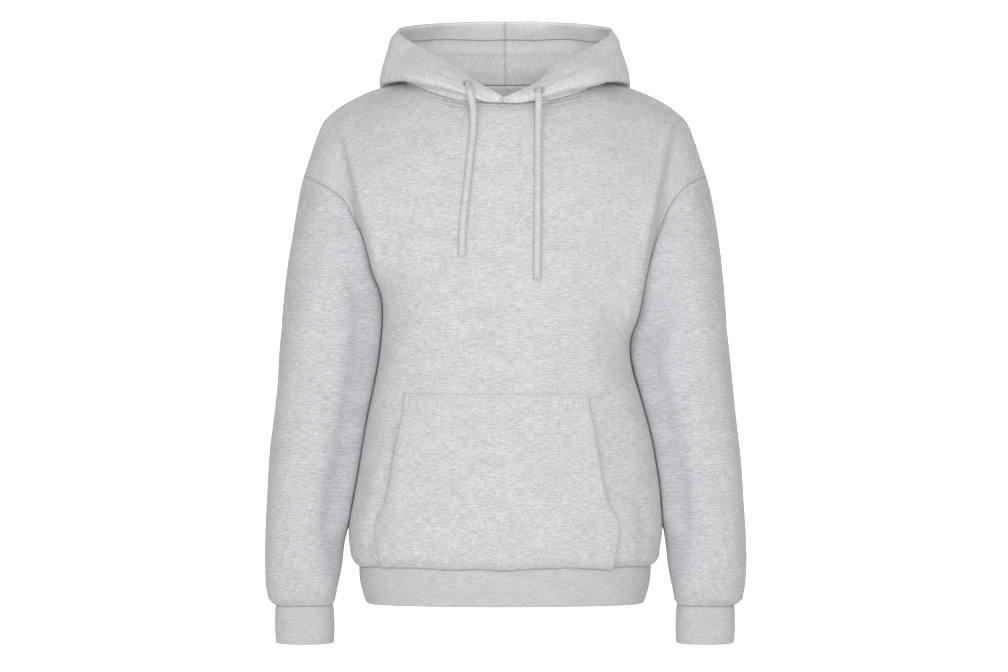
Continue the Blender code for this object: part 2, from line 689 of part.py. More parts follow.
# ---------------------------------------------------------------- the garment
def build():
    for thing in list(bpy.data.objects):
        bpy.data.objects.remove(thing, do_unlink=True)

    front = body_half(True)
    back = body_half(False)
    rings = sleeve_rings(front, back)
    hood = hood_half()
    front_skin = settled(whole_panel(front))
    skins = {
        "front_panel": (front_skin, False, False),
        "back_panel": (settled(whole_panel(back)), False, True),
        "sleeve_right": (settled(rings), True, True),
        "sleeve_left": (mirrored(rings), True, False),
        "hood_right": (hood, False, True),
        "hood_left": (mirrored(hood), False, False),
    }
    normals = skin_normals(skins)
    colours = {"front_panel": FLEECE, "back_panel": FLEECE, "hood_right": FLEECE,
               "hood_left": FLEECE, "sleeve_right": FLEECE_SLEEVE,
               "sleeve_left": FLEECE_SLEEVE}
    for name, (points, ring, _) in skins.items():
        turns = ()
        if name.endswith("panel"):
            turns = (HALF_COLS - NECK_COLS, HALF_COLS + NECK_COLS)
        outer = pulled(points, ring, normals[name], turns)
        if name.startswith("hood"):
            sign = 1.0 if name.endswith("right") else -1.0
            outer[..., 0] = np.maximum(outer[..., 0] * sign, 0.18) * sign
        inner = outer - CLOTH * normals[name]
        wall(name, outer, inner, ring, colours[name])

    for side, sign in (("right", 1.0), ("left", -1.0)):
        bands = [(share, lambda n, cx=cx, cy=cy, w=w, d=d:
                  oval(w, d, d, 2.2, n, (cx, cy)) * (sign, 1.0))
                 for share, cx, cy, w, d in CUFF]
        ribbed_band("cuff_" + side, bands, CUFF_TOP, CUFF_BOTTOM, CUFF_RIBS, RIB_GREY)
    bands = [(share, lambda n, w=w, f=f, b=b: oval(w, f, b, 2.4, n))
             for share, w, f, b in HEM]
    ribbed_band("hem_band", bands, HEM_Z - 0.4, HEM_BOTTOM, HEM_RIBS, RIB_GREY)

    outer, inner = [settled(grid) for grid in pocket_grids()]
    wall("pocket", outer, inner, False, FLEECE)

    covers = [front_skin, hood, mirrored(hood)]
    drawcord("drawcord_left", CORD_LEFT, covers)
    drawcord("drawcord_right", CORD_RIGHT, covers)


build()
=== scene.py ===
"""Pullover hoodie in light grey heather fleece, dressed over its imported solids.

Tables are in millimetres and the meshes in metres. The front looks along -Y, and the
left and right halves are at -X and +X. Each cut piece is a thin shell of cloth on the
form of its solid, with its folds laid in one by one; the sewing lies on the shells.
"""
import math

import bmesh
import bpy
import numpy as np
from mathutils import Matrix, Vector
from mathutils.bvhtree import BVHTree


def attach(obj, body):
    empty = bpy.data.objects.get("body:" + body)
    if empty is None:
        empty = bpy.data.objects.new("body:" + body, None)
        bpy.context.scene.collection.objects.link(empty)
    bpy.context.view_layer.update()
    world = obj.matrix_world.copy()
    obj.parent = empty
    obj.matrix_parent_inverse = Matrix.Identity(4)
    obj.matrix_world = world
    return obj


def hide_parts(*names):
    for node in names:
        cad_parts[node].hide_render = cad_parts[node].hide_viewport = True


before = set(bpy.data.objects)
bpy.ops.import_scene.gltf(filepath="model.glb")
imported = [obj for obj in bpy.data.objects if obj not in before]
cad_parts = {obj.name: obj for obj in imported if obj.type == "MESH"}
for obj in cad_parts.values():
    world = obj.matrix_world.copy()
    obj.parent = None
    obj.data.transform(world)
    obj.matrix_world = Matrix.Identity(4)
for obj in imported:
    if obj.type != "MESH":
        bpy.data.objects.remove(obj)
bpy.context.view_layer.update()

MM = 0.001             # the tables are in millimetres, the meshes in metres
SIGN = {"left": -1.0, "right": 1.0}

# ---------------------------------------------------------------- sizes, mm
SHELL = 2.0            # one layer of brushed fleece
FOLD_OVER = 2.4        # radius of the roll along the hood's folded rim
ROLL_LENGTH = 7.5      # cloth that the roll takes up
CORD_WIDE = 8.6        # drawcord across
CORD_DEEP = 7.2        # drawcord through
CORD_AROUND = 24.0     # round it
CORD_OFF = 0.9         # from the cloth that it lies on
CORD_SIDES = 40
CORD_STEP = 0.85       # from ring to ring along a cord
CORD_CAP = (0.93, 0.6, 0.25, 0.02)   # the rings that close its end, as shares of its size
FRAY_YARNS = 26
EYELET_WIDE = 10.0
EYELET_TALL = 13.0
EYELET_STITCHES = 30
# rows of stitches, off the seam or edge that they follow
ARM_ROW = 3.3
NECK_ROWS = (5.0, 9.4)
SHOULDER_ROW = 3.0
MIDDLE_ROW = 3.0
POCKET_ROWS = (1.8, 6.6)
NO_ROW = 9e3           # further off than any cloth reaches
STITCH_PITCH = 3.4
STITCH_LONG = 3.1
STITCH_WIDE = 0.5
SEAM_DRAW = 0.25       # how far a seam draws the cloth in, and over what width
SEAM_REACH = 2.2
GATHER_PITCHES = (31.0, 19.0, 13.5, 10.5)
CLEAR = 1.3            # a sleeve's inner wall stands this far off the body
NESTLE = 8.5           # and is drawn no further than this towards it, twice
NESTLE_REACH = 45.0    # where the body is no further away than this
NESTLE_FOOT = (566.0, 602.0)   # below the neck point, where the drawing in ends
# guide columns, counted from the centre line: the neck's, and a panel's half
NECK_COLS = 6
HALF_COLS = 12
COL_STEP = 1.0 / 6.0   # one cloth cell, in guide columns
ARM_ROWS = 80          # armpit to the end of the drop shoulder
LOW_STEP = 1.0 / 6.0   # one cloth cell, in levels of the torso

NECK_HALF_WIDTH = 128.0
NECK_FRONT = -105.0
NECK_BACK = 75.0
NECK_FRONT_Z = -35.0
NECK_BACK_Z = 3.0
NECK_POINT_Z = 0.5
# how late the neck seam rises to the neck point
NECK_FRONT_POWER = 2.6
NECK_BACK_POWER = 3.0
HEM_Z = -622.0
HEM_DROOP = 4.5        # the hem's sides hang lower by this much

# torso below the armpits
#         z    half_width  front   back  squareness
TORSO = [
    (-622.0, 190.0, 122.0, 116.0, 2.4),
    (-616.0, 196.5, 129.0, 122.0, 2.4),
    (-600.0, 201.0, 135.0, 127.0, 2.4),
    (-570.0, 202.5, 138.0, 130.0, 2.4),
    (-545.0, 198.5, 138.0, 130.0, 2.4),
    (-480.0, 187.0, 134.0, 126.0, 2.45),
    (-430.0, 178.0, 131.0, 122.0, 2.5),
    (-387.0, 170.0, 129.0, 119.0, 2.6),
    (-345.0, 162.5, 128.0, 118.0, 2.75),
    (-320.0, 160.0, 127.5, 118.0, 2.85),
    (-298.0, 158.8, 127.5, 118.5, 2.95),
    (-290.5, 159.0, 127.5, 119.0, 3.0),
]
ROW_Z = [-622.0, -617.0, -606.0, -585.0, -555.0, -520.0, -482.0, -443.0,
         -404.0, -366.0, -328.0, -298.0, -290.5]

# chest and back above the armpits, from low to high
#     centre line, below the neck point, shoulder, edge of the arm fold,
#     bottom of the arm fold, armhole seam
CHEST = [
    ((0, -128, -235), (93, -121, -240), (138, -108, -239), (169, -80, -240),
     (172.3, -53, -240), (176, -46, -240)),
    ((0, -128, -180), (99, -118, -190), (150, -104, -188), (182, -84, -189),
     (187, -69, -191), (191, -61, -190)),
    ((0, -126, -130), (105, -114, -140), (160, -98, -146), (194, -80, -150),
     (201, -64, -154), (207, -59, -155)),
    ((0, -121, -88), (112, -99, -86), (174, -79, -102), (204, -66, -112),
     (221, -54, -126), (234, -46, -136)),
    ((0, -115, -58), (123, -57, -24), (191, -42, -56), (217, -38, -68),
     (241, -27, -95), (253, -22, -126)),
]
BACK = [
    ((0, 120, -235), (94, 112, -240), (138, 99, -239), (168, 75, -240),
     (172.3, 52, -240), (176, 45, -240)),
    ((0, 121, -180), (99, 109, -188), (150, 95, -188), (181, 77, -189),
     (187, 66, -191), (191, 59, -190)),
    ((0, 117, -130), (105, 103, -138), (160, 89, -145), (193, 73, -149),
     (201, 61, -154), (207, 57, -155)),
    ((0, 108, -85), (112, 88, -86), (174, 70, -100), (204, 59, -110),
     (221, 50, -125), (234, 43, -136)),
    ((0, 96, -38), (122, 54, -24), (191, 38, -55), (217, 34, -66),
     (241, 25, -94), (253, 20, -126)),
]
RIDGE = [(128, 0, 0.5), (162, 0, -7), (194, 0, -20), (219, 0, -35), (236, 0, -51),
         (246, 0, -74), (256, 0, -104), (262, 0, -122)]
GUIDE_COLS = [0, 6, 8, 10, 11, 12]
# how much nearer the side seam each guide column lies at the armpit
SIDE_CROWD = [0, 0, 0, 0, 0, 0, 0, 0, 0.005, 0.01, 0.02, 0.045, 0]
ARM_SPREAD = 3.0       # the side seam's last rise to the armpit turns outwards

#          z     centre_x  centre_y  half_width  half_depth
SLEEVE = [
    (-320.0, 227.0, -1.0, 61.5, 86.0),
    (-352.0, 230.5, -2.0, 61.5, 85.5),
    (-387.0, 235.0, -3.0, 60.5, 84.0),
    (-425.0, 240.5, -5.0, 59.0, 81.0),
    (-477.0, 247.5, -7.0, 57.0, 76.0),
    (-544.0, 256.0, -10.0, 52.5, 69.5),
    (-589.0, 259.5, -12.0, 51.5, 64.0),
    (-633.0, 261.5, -14.0, 49.5, 56.0),
    (-660.0, 263.0, -14.0, 45.5, 47.0),
    (-673.0, 262.5, -14.0, 41.5, 38.0),
    (-678.0, 260.5, -14.0, 37.5, 32.0),
]
SLEEVE_POWER = 2.45
SLEEVE_RINGS = 84
CAP_RINGS = 36         # from the armhole seam to the first whole ring
SLEEVE_Z = [-320.0, -350.0, -384.0, -420.0, -456.0, -494.0, -532.0, -570.0,
            -606.0, -638.0, -662.0, -673.0, -678.0]
#    share of the way, direction, length of the pull
SLEEVE_LEAVE = [
    (0.00, (1.0, 0.0, 0.0), 12.0),
    (0.24, (0.95, -0.15, -0.25), 45.0),
    (0.48, (0.72, -0.55, -0.43), 90.0),
    (0.66, (0.64, -0.35, -0.68), 130.0),
    (0.84, (0.44, -0.10, -0.89), 170.0),
    (1.00, (0.28, 0.0, -0.96), 190.0),
]
#     level    drop of the right arm fold
SETTLE = [(-60.0, 0.0), (-118.0, 12.0), (-169.0, 30.0), (-204.0, 48.0),
          (-242.0, 58.0), (-275.0, 55.0), (-308.0, 46.0), (-350.0, 33.0),
          (-400.0, 20.0), (-450.0, 10.0), (-500.0, 3.0), (-540.0, 0.0)]
SETTLE_FROM = (95.0, 160.0)
SETTLE_TO = (186.0, 240.0)

CUFF_TOP = -678.12
CUFF_BOTTOM = -727.0
#            share down, centre_x, centre_y, half_width, half_depth
CUFF = [(0.0, 260.0, -14.0, 37.2, 31.6),
        (0.5, 259.6, -14.5, 38.2, 31.0),
        (1.0, 259.2, -15.0, 37.4, 30.0)]
CUFF_POWER = 2.2
CUFF_RIBS = 66
CUFF_RISE = 0.4        # height of a rib
#      share down, half_width, front, back
HEM = [(0.0, 189.6, 121.6, 115.6),
       (0.5, 187.5, 121.5, 115.0),
       (1.0, 180.5, 117.0, 110.5)]
HEM_BOTTOM = -671.5
HEM_POWER = 2.4
HEM_RIBS = 296
HEM_RISE = 0.34
RIB_WALL = 3.2
SEAM_GAP = 0.12        # between the hem's seam and its band

# hood, half of it, from the neck seam to the rim
#   share,  back centre,     back,            back corner,    side,
#           front side,      front,           front centre
HOOD = [
    (0.00, (0, 75, 3), (90, 53, 2), (124, 19, 1), (128, 0, 0.5),
     (111, -52, -11), (64, -91, -29), (0, -105, -35)),
    (0.09, (0, 79, 31), (92, 57, 27), (128, 22, 12), (136, 2, 4),
     (116, -57, -8), (67, -97, -27), (0, -108, -36)),
    (0.13, (0, 88, 43), (96, 66, 38), (133, 27, 17), (143, 4, 4),
     (120, -60, -6.5), (70, -101, -24), (0, -110, -36.5)),
    (0.18, (0, 99, 34), (103, 78, 31), (140, 34, 15), (150, 6, 2),
     (124, -62, -5), (72, -104, -21), (0, -112, -36.5)),
    (0.30, (0, 112, -25), (110, 96, -10), (150, 50, 2), (158, 9, -1.5),
     (129, -62, 1), (75, -107, -15), (0, -115, -36)),
    (0.42, (0, 124, -105), (114, 112, -64), (157, 66, -12), (163, 13, 1.5),
     (132, -59, 8), (76, -106, -9), (0, -117, -35)),
    (0.46, (0, 131, -148), (116, 121, -92), (160, 76, -17), (163.5, 15, 5),
     (132.8, -57, 11), (76, -105, -6.5), (0, -117.5, -34.5)),
    (0.50, (0, 149, -170), (117, 137, -108), (161.5, 85, -15), (163, 16, 9),
     (133, -55, 14), (76, -104, -4), (0, -118, -34)),
    (0.55, (0, 169, -163), (118, 152, -102), (162, 92, -7), (162, 17.5, 13.5),
     (133, -52, 17.5), (75.5, -102, -2), (0, -118.5, -33.5)),
    (0.60, (0, 182, -138), (118.5, 163, -84), (162, 97, 3), (161, 19, 19),
     (132.5, -49, 21), (75, -99, 0), (0, -119, -33)),
    (0.72, (0, 194, -60), (118, 172, -25), (160, 102, 25), (157, 22, 33),
     (130, -42, 28), (72, -92, 5), (0, -120, -31.5)),
    (0.84, (0, 186, 15), (116, 166, 30), (155, 98, 48), (152.5, 25, 48),
     (125.5, -33, 35.5), (68, -84, 9), (0, -120.5, -30)),
    (0.93, (0, 165, 66), (109, 147, 68), (149, 87, 67), (147.5, 28, 62),
     (119.5, -26, 42), (64, -77, 12), (0, -121, -29)),
    (1.00, (0, 140, 95), (98, 126, 91), (141, 75, 79), (141, 30, 69),
     (113, -21, 45), (60, -71, 14), (0, -121, -28)),
]
HOOD_COLS = [0, 3, 5, 6, 8, 10, 12]
HOOD_COL_STEP = 0.125
# its rows: from one share to the next, in so many steps, closest together at its folds
HOOD_ROWS = [(0.0, 0.2, 21), (0.2, 0.42, 15), (0.42, 0.62, 21), (0.62, 1.0, 39)]
CASING = 27.0          # the hood's folded edge, and what it gains where the cord comes out
CASING_GAIN = 9.0
CORD_ROOM = 3.6        # how far the cord holds its two layers apart

# kangaroo pocket
#          z    half_width   lift at its side edges
POCKET = [
    (-621.6, 146.0, 0.7),
    (-606.0, 148.5, 0.7),
    (-585.0, 152.0, 0.7),
    (-571.0, 153.0, 0.7),
    (-562.0, 150.0, 1.4),
    (-543.0, 139.0, 3.0),
    (-522.0, 132.0, 4.5),
    (-495.0, 127.0, 5.5),
    (-465.0, 122.0, 5.5),
    (-437.0, 118.0, 4.0),
    (-418.0, 115.5, 2.0),
    (-403.0, 116.5, 0.7),
]
POCKET_CENTRE = -11.0
POCKET_LIFT = 0.7
POCKET_BELLY = 2.2
POCKET_CLOTH = 2.4

# drawcords: x and z from the eyelet to the free end
CORDS = {
    "left": [(-47.5, -10.5), (-43.5, -25.0), (-40.5, -41.0), (-40.0, -67.0),
             (-43.5, -102.0), (-47.5, -141.0), (-51.3, -173.0), (-53.6, -204.0),
             (-54.0, -229.0)],
    "right": [(43.0, -18.5), (42.3, -33.0), (41.9, -50.0), (41.5, -95.0),
              (41.2, -150.0), (40.6, -208.0), (40.0, -257.5)],
}

# soft folds, each along a line: troughs are below nought, ridges above
#      x0     z0      x1     z1   half_width depth  bow
FRONT_FOLDS = [
    (-140, -445, -181, -612, 10, -3.6, 9),
    (-160, -470, -196, -600, 9, 1.8, 8),
    (166, -528, 176, -612, 8, -2.6, 4),
    (158, -420, 166, -540, 12, 1.2, -4),
    (-150, -150, -142, -330, 16, -2.2, 4),
    (-176, -130, -158, -300, 10, 1.2, 2),
    (150, -190, 140, -372, 16, -2.0, -4),
    (-154, -318, -100, -352, 10, -1.5, -6),
    (150, -362, 92, -392, 10, -1.6, -6),
    (146, -384, 100, -420, 9, 1.0, -4),
    (-60, -300, 40, -316, 22, -0.9, 6),
    (-128, -58, -60, -76, 9, -1.1, -5),
    (112, -62, 56, -74, 9, -1.0, -5),
    (-96, -36, -58, -62, 6, 0.9, -3),
    (90, -36, 58, -58, 6, 0.8, -3),
    (-182, -70, -212, -120, 11, -1.4, 4),
    (188, -76, 218, -118, 11, -1.2, -4),
]
# the edge where the chest hangs before the arm: height, then distance from the middle
FOLD_EDGE = {
    "left": [(-308.0, 156.0), (-257.0, 166.0), (-196.0, 179.0), (-146.0, 191.0),
             (-88.0, 205.0), (-64.0, 215.0)],
    "right": [(-330.0, 166.0), (-290.0, 172.5), (-201.0, 185.0), (-131.0, 200.6),
              (-63.0, 216.0)],
}
STEP_BACK = 11.5
STEP_TOP = (52.0, 100.0)      # below the neck point, where the fold begins
STEP_FOOT = (258.0, 312.0)    # and where it ends
# the share of its depth that a sleeve's front falls back where it hangs behind the body
BEHIND = [(-660.0, 0.0), (-625.0, 0.25), (-570.0, 0.66), (-450.0, 0.58), (-350.0, 0.5),
          (-300.0, 0.25), (-270.0, 0.0)]
BEHIND_REACH = 21.0
# how far the right side seam stands further out: height, distance from the middle, shift
SIDE_OUT = [(-600.0, 196.0, 0.0), (-570.0, 196.0, 2.5), (-520.0, 189.0, 7.0),
            (-470.0, 179.0, 9.0), (-400.0, 164.0, 7.0), (-330.0, 158.0, 2.0),
            (-290.0, 158.0, 0.0)]
SIDE_REACH = 27.0
ARM_FOLDS = [
    (-226, -52, -202, -140, 8, -2.4, -5),
    (226, -52, 208, -140, 8, -2.0, 5),
]
BACK_FOLDS = [
    (-120, -250, -60, -292, 16, -1.8, 8),
    (128, -262, 70, -300, 15, -1.7, -8),
    (-150, -330, -84, -372, 13, -1.8, 6),
    (150, -352, 92, -386, 13, -1.9, -6),
    (-60, -180, -34, -330, 26, -1.3, 6),
    (54, -190, 40, -340, 24, -1.2, -5),
    (-150, -460, -176, -606, 12, -2.0, 6),
    (150, -470, 178, -604, 12, -1.8, -5),
    (-40, -480, -30, -600, 18, -1.0, 3),
    (66, -500, 74, -604, 14, 0.9, -3),
    (-176, -110, -150, -240, 12, -1.6, 5),
    (176, -116, 152, -262, 12, -1.5, -5),
]
POCKET_FOLDS = [
    (-118, -470, -128, -560, 9, -1.0, 3),
    (96, -440, 118, -540, 10, -0.9, 4),
    (-60, -596, 40, -588, 9, -0.8, -4),
]
HOOD_FOLDS = {
    "right": [
        (138, 40, 70, -2, 7, -1.8, 4),
        (150, 14, 84, -12, 7, 1.3, 3),
        (128, 2, 62, -20, 5, -1.2, 2),
        (100, 34, 74, 10, 5, 0.8, 1),
    ],
    "left": [
        (142, 34, 66, 2, 7, -1.9, 5),
        (146, 8, 90, -8, 6, 1.2, 2),
        (132, 24, 96, -6, 5, -1.4, -2),
        (96, 40, 60, 12, 5, 0.9, 2),
    ],
}
# the flap's lip over the neck seam: how far out, at what share, and the tuck below it
LIP = {"left": (3.6, 0.34, 5.4, 0.11), "right": (3.0, 0.24, 3.6, 0.06)}
# the V of the neck: its foot, each flap's slope and dip, and how the right one laps over
V_LOW = -32.5
V_FRONT = -121.0
V_SLOPE = {"left": 0.69, "right": 0.61}
V_DROP = {"left": 2.5, "right": 0.0}
#        sideways, forward, and further sideways at its foot
V_LAP = {"left": (1.6, -0.4, 0.0), "right": (-1.4, 2.7, -7.0)}
# as above, drawn at +X for both sleeves; the last column is -1 in front and 1 at the back
SLEEVE_FOLDS = {
    "right": [
        (206, -372, 262, -398, 11, -1.6, 6, -1),
        (214, -408, 268, -430, 12, 1.0, 5, -1),
        (220, -452, 282, -470, 13, -1.4, 6, -1),
        (232, -520, 292, -538, 13, -1.2, 5, -1),
        (238, -584, 244, -650, 10, -1.5, 2, -1),
        (276, -590, 270, -660, 9, -1.2, -2, -1),
        (206, -360, 260, -392, 14, -1.8, 6, 1),
        (216, -452, 280, -476, 13, -1.5, 5, 1),
        (226, -540, 290, -560, 12, -1.3, 5, 1),
        (256, -600, 258, -662, 9, -1.4, 2, 1),
    ],
    "left": [
        (200, -330, 256, -352, 11, -1.4, 5, -1),
        (212, -400, 262, -412, 12, -1.2, 5, -1),
        (206, -462, 222, -604, 11, -4.2, -3, -1),
        (250, -500, 286, -512, 12, -1.0, 4, -1),
        (244, -592, 248, -656, 9, -1.5, -2, -1),
        (280, -604, 272, -664, 9, -1.1, 2, -1),
        (204, -336, 262, -372, 14, -1.7, 6, 1),
        (214, -430, 276, -452, 13, -1.4, 5, 1),
        (228, -530, 288, -548, 12, -1.3, 4, 1),
        (262, -600, 262, -664, 9, -1.3, 2, 1),
    ],
}


# ---------------------------------------------------------------- curves
def hermite(s):
    """Weights of a curve's start, the pull it leaves with, its end and its last pull."""
    return (2 * s**3 - 3 * s**2 + 1, s**3 - 2 * s**2 + s,
            3 * s**2 - 2 * s**3, s**3 - s**2)


def spline(knots, values, at):
    """A smooth curve through the values, read at any places between the knots."""
    knots = np.asarray(knots, float)
    values = np.asarray(values, float)
    flat = values.reshape(len(knots), -1)
    step = np.diff(knots)
    slope = np.diff(flat, axis=0) / step[:, None]
    tangent = np.empty_like(flat)
    tangent[0] = slope[0]
    tangent[-1] = slope[-1]
    weight = (step[1:] / (step[1:] + step[:-1]))[:, None]
    tangent[1:-1] = slope[:-1] * weight + slope[1:] * (1.0 - weight)
    at = np.clip(np.atleast_1d(np.asarray(at, float)), knots[0], knots[-1])
    cell = np.clip(np.searchsorted(knots, at, side="right") - 1, 0, len(step) - 1)
    width = step[cell][:, None]
    s = ((at - knots[cell])[:, None]) / width
    start, leave, end, arrive = hermite(s)
    value = (start * flat[cell] + leave * width * tangent[cell]
             + end * flat[cell + 1] + arrive * width * tangent[cell + 1])
    return value.reshape((len(at),) + values.shape[1:])


def lengths(points):
    """Distance along a run of points, from its first."""
    steps = np.linalg.norm(np.diff(points, axis=0), axis=1)
    return np.concatenate([[0.0], np.cumsum(steps)])


def evenly(points, shares):
    """Points at given shares of the length of a finely drawn curve."""
    along = lengths(points)
    targets = np.asarray(shares, float) * along[-1]
    return np.stack([np.interp(targets, along, points[:, k])
                     for k in range(points.shape[1])], 1)


def arc(half_width, depth, power, shares):
    """Half of a section from its centre line to its side, z left at nought."""
    angle = np.linspace(0.0, math.pi / 2, 240)
    x = half_width * np.sin(angle) ** (2.0 / power)
    y = depth * np.cos(angle) ** (2.0 / power)
    return evenly(np.stack([x, y, np.zeros_like(x)], 1), shares)


def ease(value, low, high):
    """Smooth step from nought at low to one at high."""
    share = np.clip((value - low) / (high - low), 0.0, 1.0)
    return share * share * (3.0 - 2.0 * share)


def finer(values, count):
    """A list of levels with more of them between."""
    places = np.linspace(0, len(values) - 1, count)
    return spline(np.arange(len(values)), np.array(values)[:, None], places)[:, 0]


def smooth_table(table, at):
    """A table's other columns at places of its first one, along smooth curves."""
    table = np.array(table, float)
    if table[0, 0] > table[-1, 0]:
        table = table[::-1]
    return spline(table[:, 0], table[:, 1:], at)


def straight_table(table, at, column=1):
    """One column of a table at places of its first one, along straight lines."""
    table = np.array(table)
    return np.interp(at, table[:, 0], table[:, column])


def bell(value, width):
    """One at nought, fading away on both sides of it."""
    return np.exp(-(value / width) ** 2)


def mirrored(points):
    """The same points on the other side of the body."""
    return points * (-1, 1, 1)


def ring_closed(grid):
    """A ring's grid with its first column again at its end."""
    return np.concatenate([grid, grid[:, :1]], axis=1)


def unit(ways):
    """Directions drawn to a length of one."""
    return ways / np.linalg.norm(ways, axis=-1, keepdims=True)


# ---------------------------------------------------------------- garment skin
def neck_line(front, cols):
    """Neck seam at given guide columns, from its centre line to the neck point."""
    angle = np.asarray(cols) / NECK_COLS * math.pi / 2
    depth = NECK_FRONT if front else NECK_BACK
    low = NECK_FRONT_Z if front else NECK_BACK_Z
    power = NECK_FRONT_POWER if front else NECK_BACK_POWER
    x = NECK_HALF_WIDTH * np.sin(angle)
    y = depth * np.cos(angle)
    z = low + (NECK_POINT_Z - low) * np.sin(angle) ** power
    return np.stack([x, y, z], 1)


def body_half(front):
    """Half of the front or back, at +X, as rows of points from hem to shoulder."""
    sign = -1.0 if front else 1.0
    cols = np.arange(0, HALF_COLS + COL_STEP / 2, COL_STEP)
    crowd = np.interp(cols, np.arange(HALF_COLS + 1), SIDE_CROWD)
    last = len(ROW_Z) - 1

    def torso_row(index):
        z = float(np.interp(index, np.arange(len(ROW_Z)), ROW_Z))
        width, depth_front, depth_back, power = smooth_table(TORSO, z)[0]
        near = float(ease(index, last - 6.0, last - 1.0))
        row = arc(width, sign * (depth_front if front else depth_back), power,
                  np.clip(cols / HALF_COLS + near * crowd, 0.0, 1.0))
        row[:, 2] = z
        row[:, 0] += ARM_SPREAD * ease(index, last - 1.5, last) * ease(cols, 10.6, 12.0)
        return row

    rows = [torso_row(index) for index in np.arange(0, last + LOW_STEP / 2, LOW_STEP)]
    levels = [torso_row(last - 1), torso_row(last)]
    for level in (CHEST if front else BACK):
        half = np.array(level, float)
        other = mirrored(half[1:][::-1])
        knots = [-c for c in GUIDE_COLS[:0:-1]] + GUIDE_COLS
        levels.append(spline(knots, np.concatenate([other, half]), cols))
    ridge = np.array(RIDGE, float)
    fine = spline(lengths(ridge), ridge, np.linspace(0, lengths(ridge)[-1], 300))
    neck = neck_line(front, cols[cols <= NECK_COLS + 1e-6])
    beyond = cols[cols > NECK_COLS + 1e-6]
    shoulder = evenly(fine, (beyond - NECK_COLS) / (HALF_COLS - NECK_COLS))
    levels.append(np.concatenate([neck, shoulder]))
    levels = np.array(levels)
    upper = np.empty((ARM_ROWS + 1, len(cols), 3))
    for col in range(len(cols)):
        line = levels[:, col]
        knots = lengths(line)
        run = spline(knots, line, np.linspace(knots[1], knots[-1], 400))
        upper[:, col] = evenly(run, np.linspace(0, 1, ARM_ROWS + 1))
    return np.concatenate([np.array(rows)[:-1], upper])


def settled(points):
    """The cloth about the right armpit let down a little."""
    moved = points.copy()
    flat = moved.reshape(-1, 3)
    amount = smooth_table(SETTLE, flat[:, 2])[:, 0]
    inside = (flat[:, 2] < SETTLE[0][0]) & (flat[:, 2] > SETTLE[-1][0])
    across = ease(flat[:, 0], *SETTLE_FROM) * (1.0 - ease(flat[:, 0], *SETTLE_TO))
    flat[:, 2] -= np.where(inside, amount, 0.0) * across
    return moved


def hem_set(points):
    """The hem seam's slight waves, and its sides drawn down level with its front."""
    moved = points.copy()
    flat = moved.reshape(-1, 3)
    x, y, z = flat.T
    turn = np.arctan2(y, x)
    wave = (1.1 * np.sin(5 * turn + 0.6) + 0.8 * np.sin(9 * turn - 1.0)
            + 0.5 * np.sin(14 * turn + 2.0))
    low = 1.0 - ease(z, -640.0, -520.0)
    to_side = np.clip(np.abs(x) / TORSO[0][1], 0, 1.1)
    flat[:, 2] += wave * bell(z - HEM_Z, 16.0) - HEM_DROOP * to_side ** 4 * low
    return moved


def whole_panel(half):
    """Both halves of a panel, from its left side to its right."""
    return np.concatenate([mirrored(half[:, :0:-1]), half], axis=1)


def sleeve_rings(front, back):
    """The +X sleeve as rings from the armhole seam to the cuff seam."""
    armpit = len(front) - ARM_ROWS - 1
    around = 2 * ARM_ROWS
    seam = np.concatenate([front[armpit:, -1], back[armpit:, -1][-2:0:-1]])
    rings = []
    for z in finer(SLEEVE_Z, SLEEVE_RINGS):
        cx, cy, width, depth = smooth_table(SLEEVE, z)[0]
        quarter = arc(depth, width, SLEEVE_POWER, np.linspace(0, 1, 161))
        loop = np.concatenate([
            np.stack([-quarter[:, 1], -quarter[:, 0]], 1),
            np.stack([quarter[:, 1], -quarter[:, 0]], 1)[-2::-1],
            np.stack([quarter[:, 1], quarter[:, 0]], 1)[1:],
            np.stack([-quarter[:, 1], quarter[:, 0]], 1)[-2::-1],
        ])
        loop = np.concatenate([loop, np.zeros((len(loop), 1))], 1)
        rings.append(evenly(loop, np.arange(around) / around) + (cx, cy, z))
    # the cloth leaves the armhole with a pull that turns from the armpit to the shoulder
    leaving = np.array([(share, *way, length) for share, way, length in SLEEVE_LEAVE])
    share = np.array([min(m, around - m) / ARM_ROWS for m in range(around)])
    way = smooth_table(leaving, share)
    direction = unit(way[:, :3])
    direction[ARM_ROWS + 1:, 1] *= -1.0
    pull = direction * way[:, 3:]
    drop = np.stack([np.zeros(around), np.zeros(around), -(18 + 90 * share)], 1)
    cap = []
    for s in np.linspace(0, 1, CAP_RINGS + 1)[:-1]:
        start, leave, end, arrive = hermite(s)
        cap.append(start * seam + leave * pull + end * rings[0] + arrive * drop)
    return np.array(cap + rings)


def hood_half():
    """Half of the hood at +X: rows from the neck seam to the rim, and their shares."""
    steps = [row[0] for row in HOOD]
    lines = np.array([row[1:] for row in HOOD], float)
    shares = np.concatenate([np.linspace(start, end, count + 1)[:-1]
                             for start, end, count in HOOD_ROWS] + [[1.0]])
    stations = spline(steps, lines, shares)
    cols = np.arange(0, 2 * NECK_COLS + HOOD_COL_STEP / 2, HOOD_COL_STEP)
    rows = np.empty((len(shares), len(cols), 3))
    for index, line in enumerate(stations):
        before, after = mirrored(line[1]), mirrored(line[-2])
        knots = [-HOOD_COLS[1]] + HOOD_COLS + [2 * HOOD_COLS[-1] - HOOD_COLS[-2]]
        rows[index] = spline(knots, np.concatenate([[before], line, [after]]), cols)
    back = neck_line(False, cols[cols <= NECK_COLS])
    front = neck_line(True, 2 * NECK_COLS - cols[cols > NECK_COLS])
    off = np.concatenate([back, front]) - rows[0]
    rows += off * (1.0 - ease(shares, 0.0, 0.09))[:, None, None]
    rows[:, 0, 0] = 0.0
    rows[:, -1, 0] = 0.0
    return rows, shares, cols


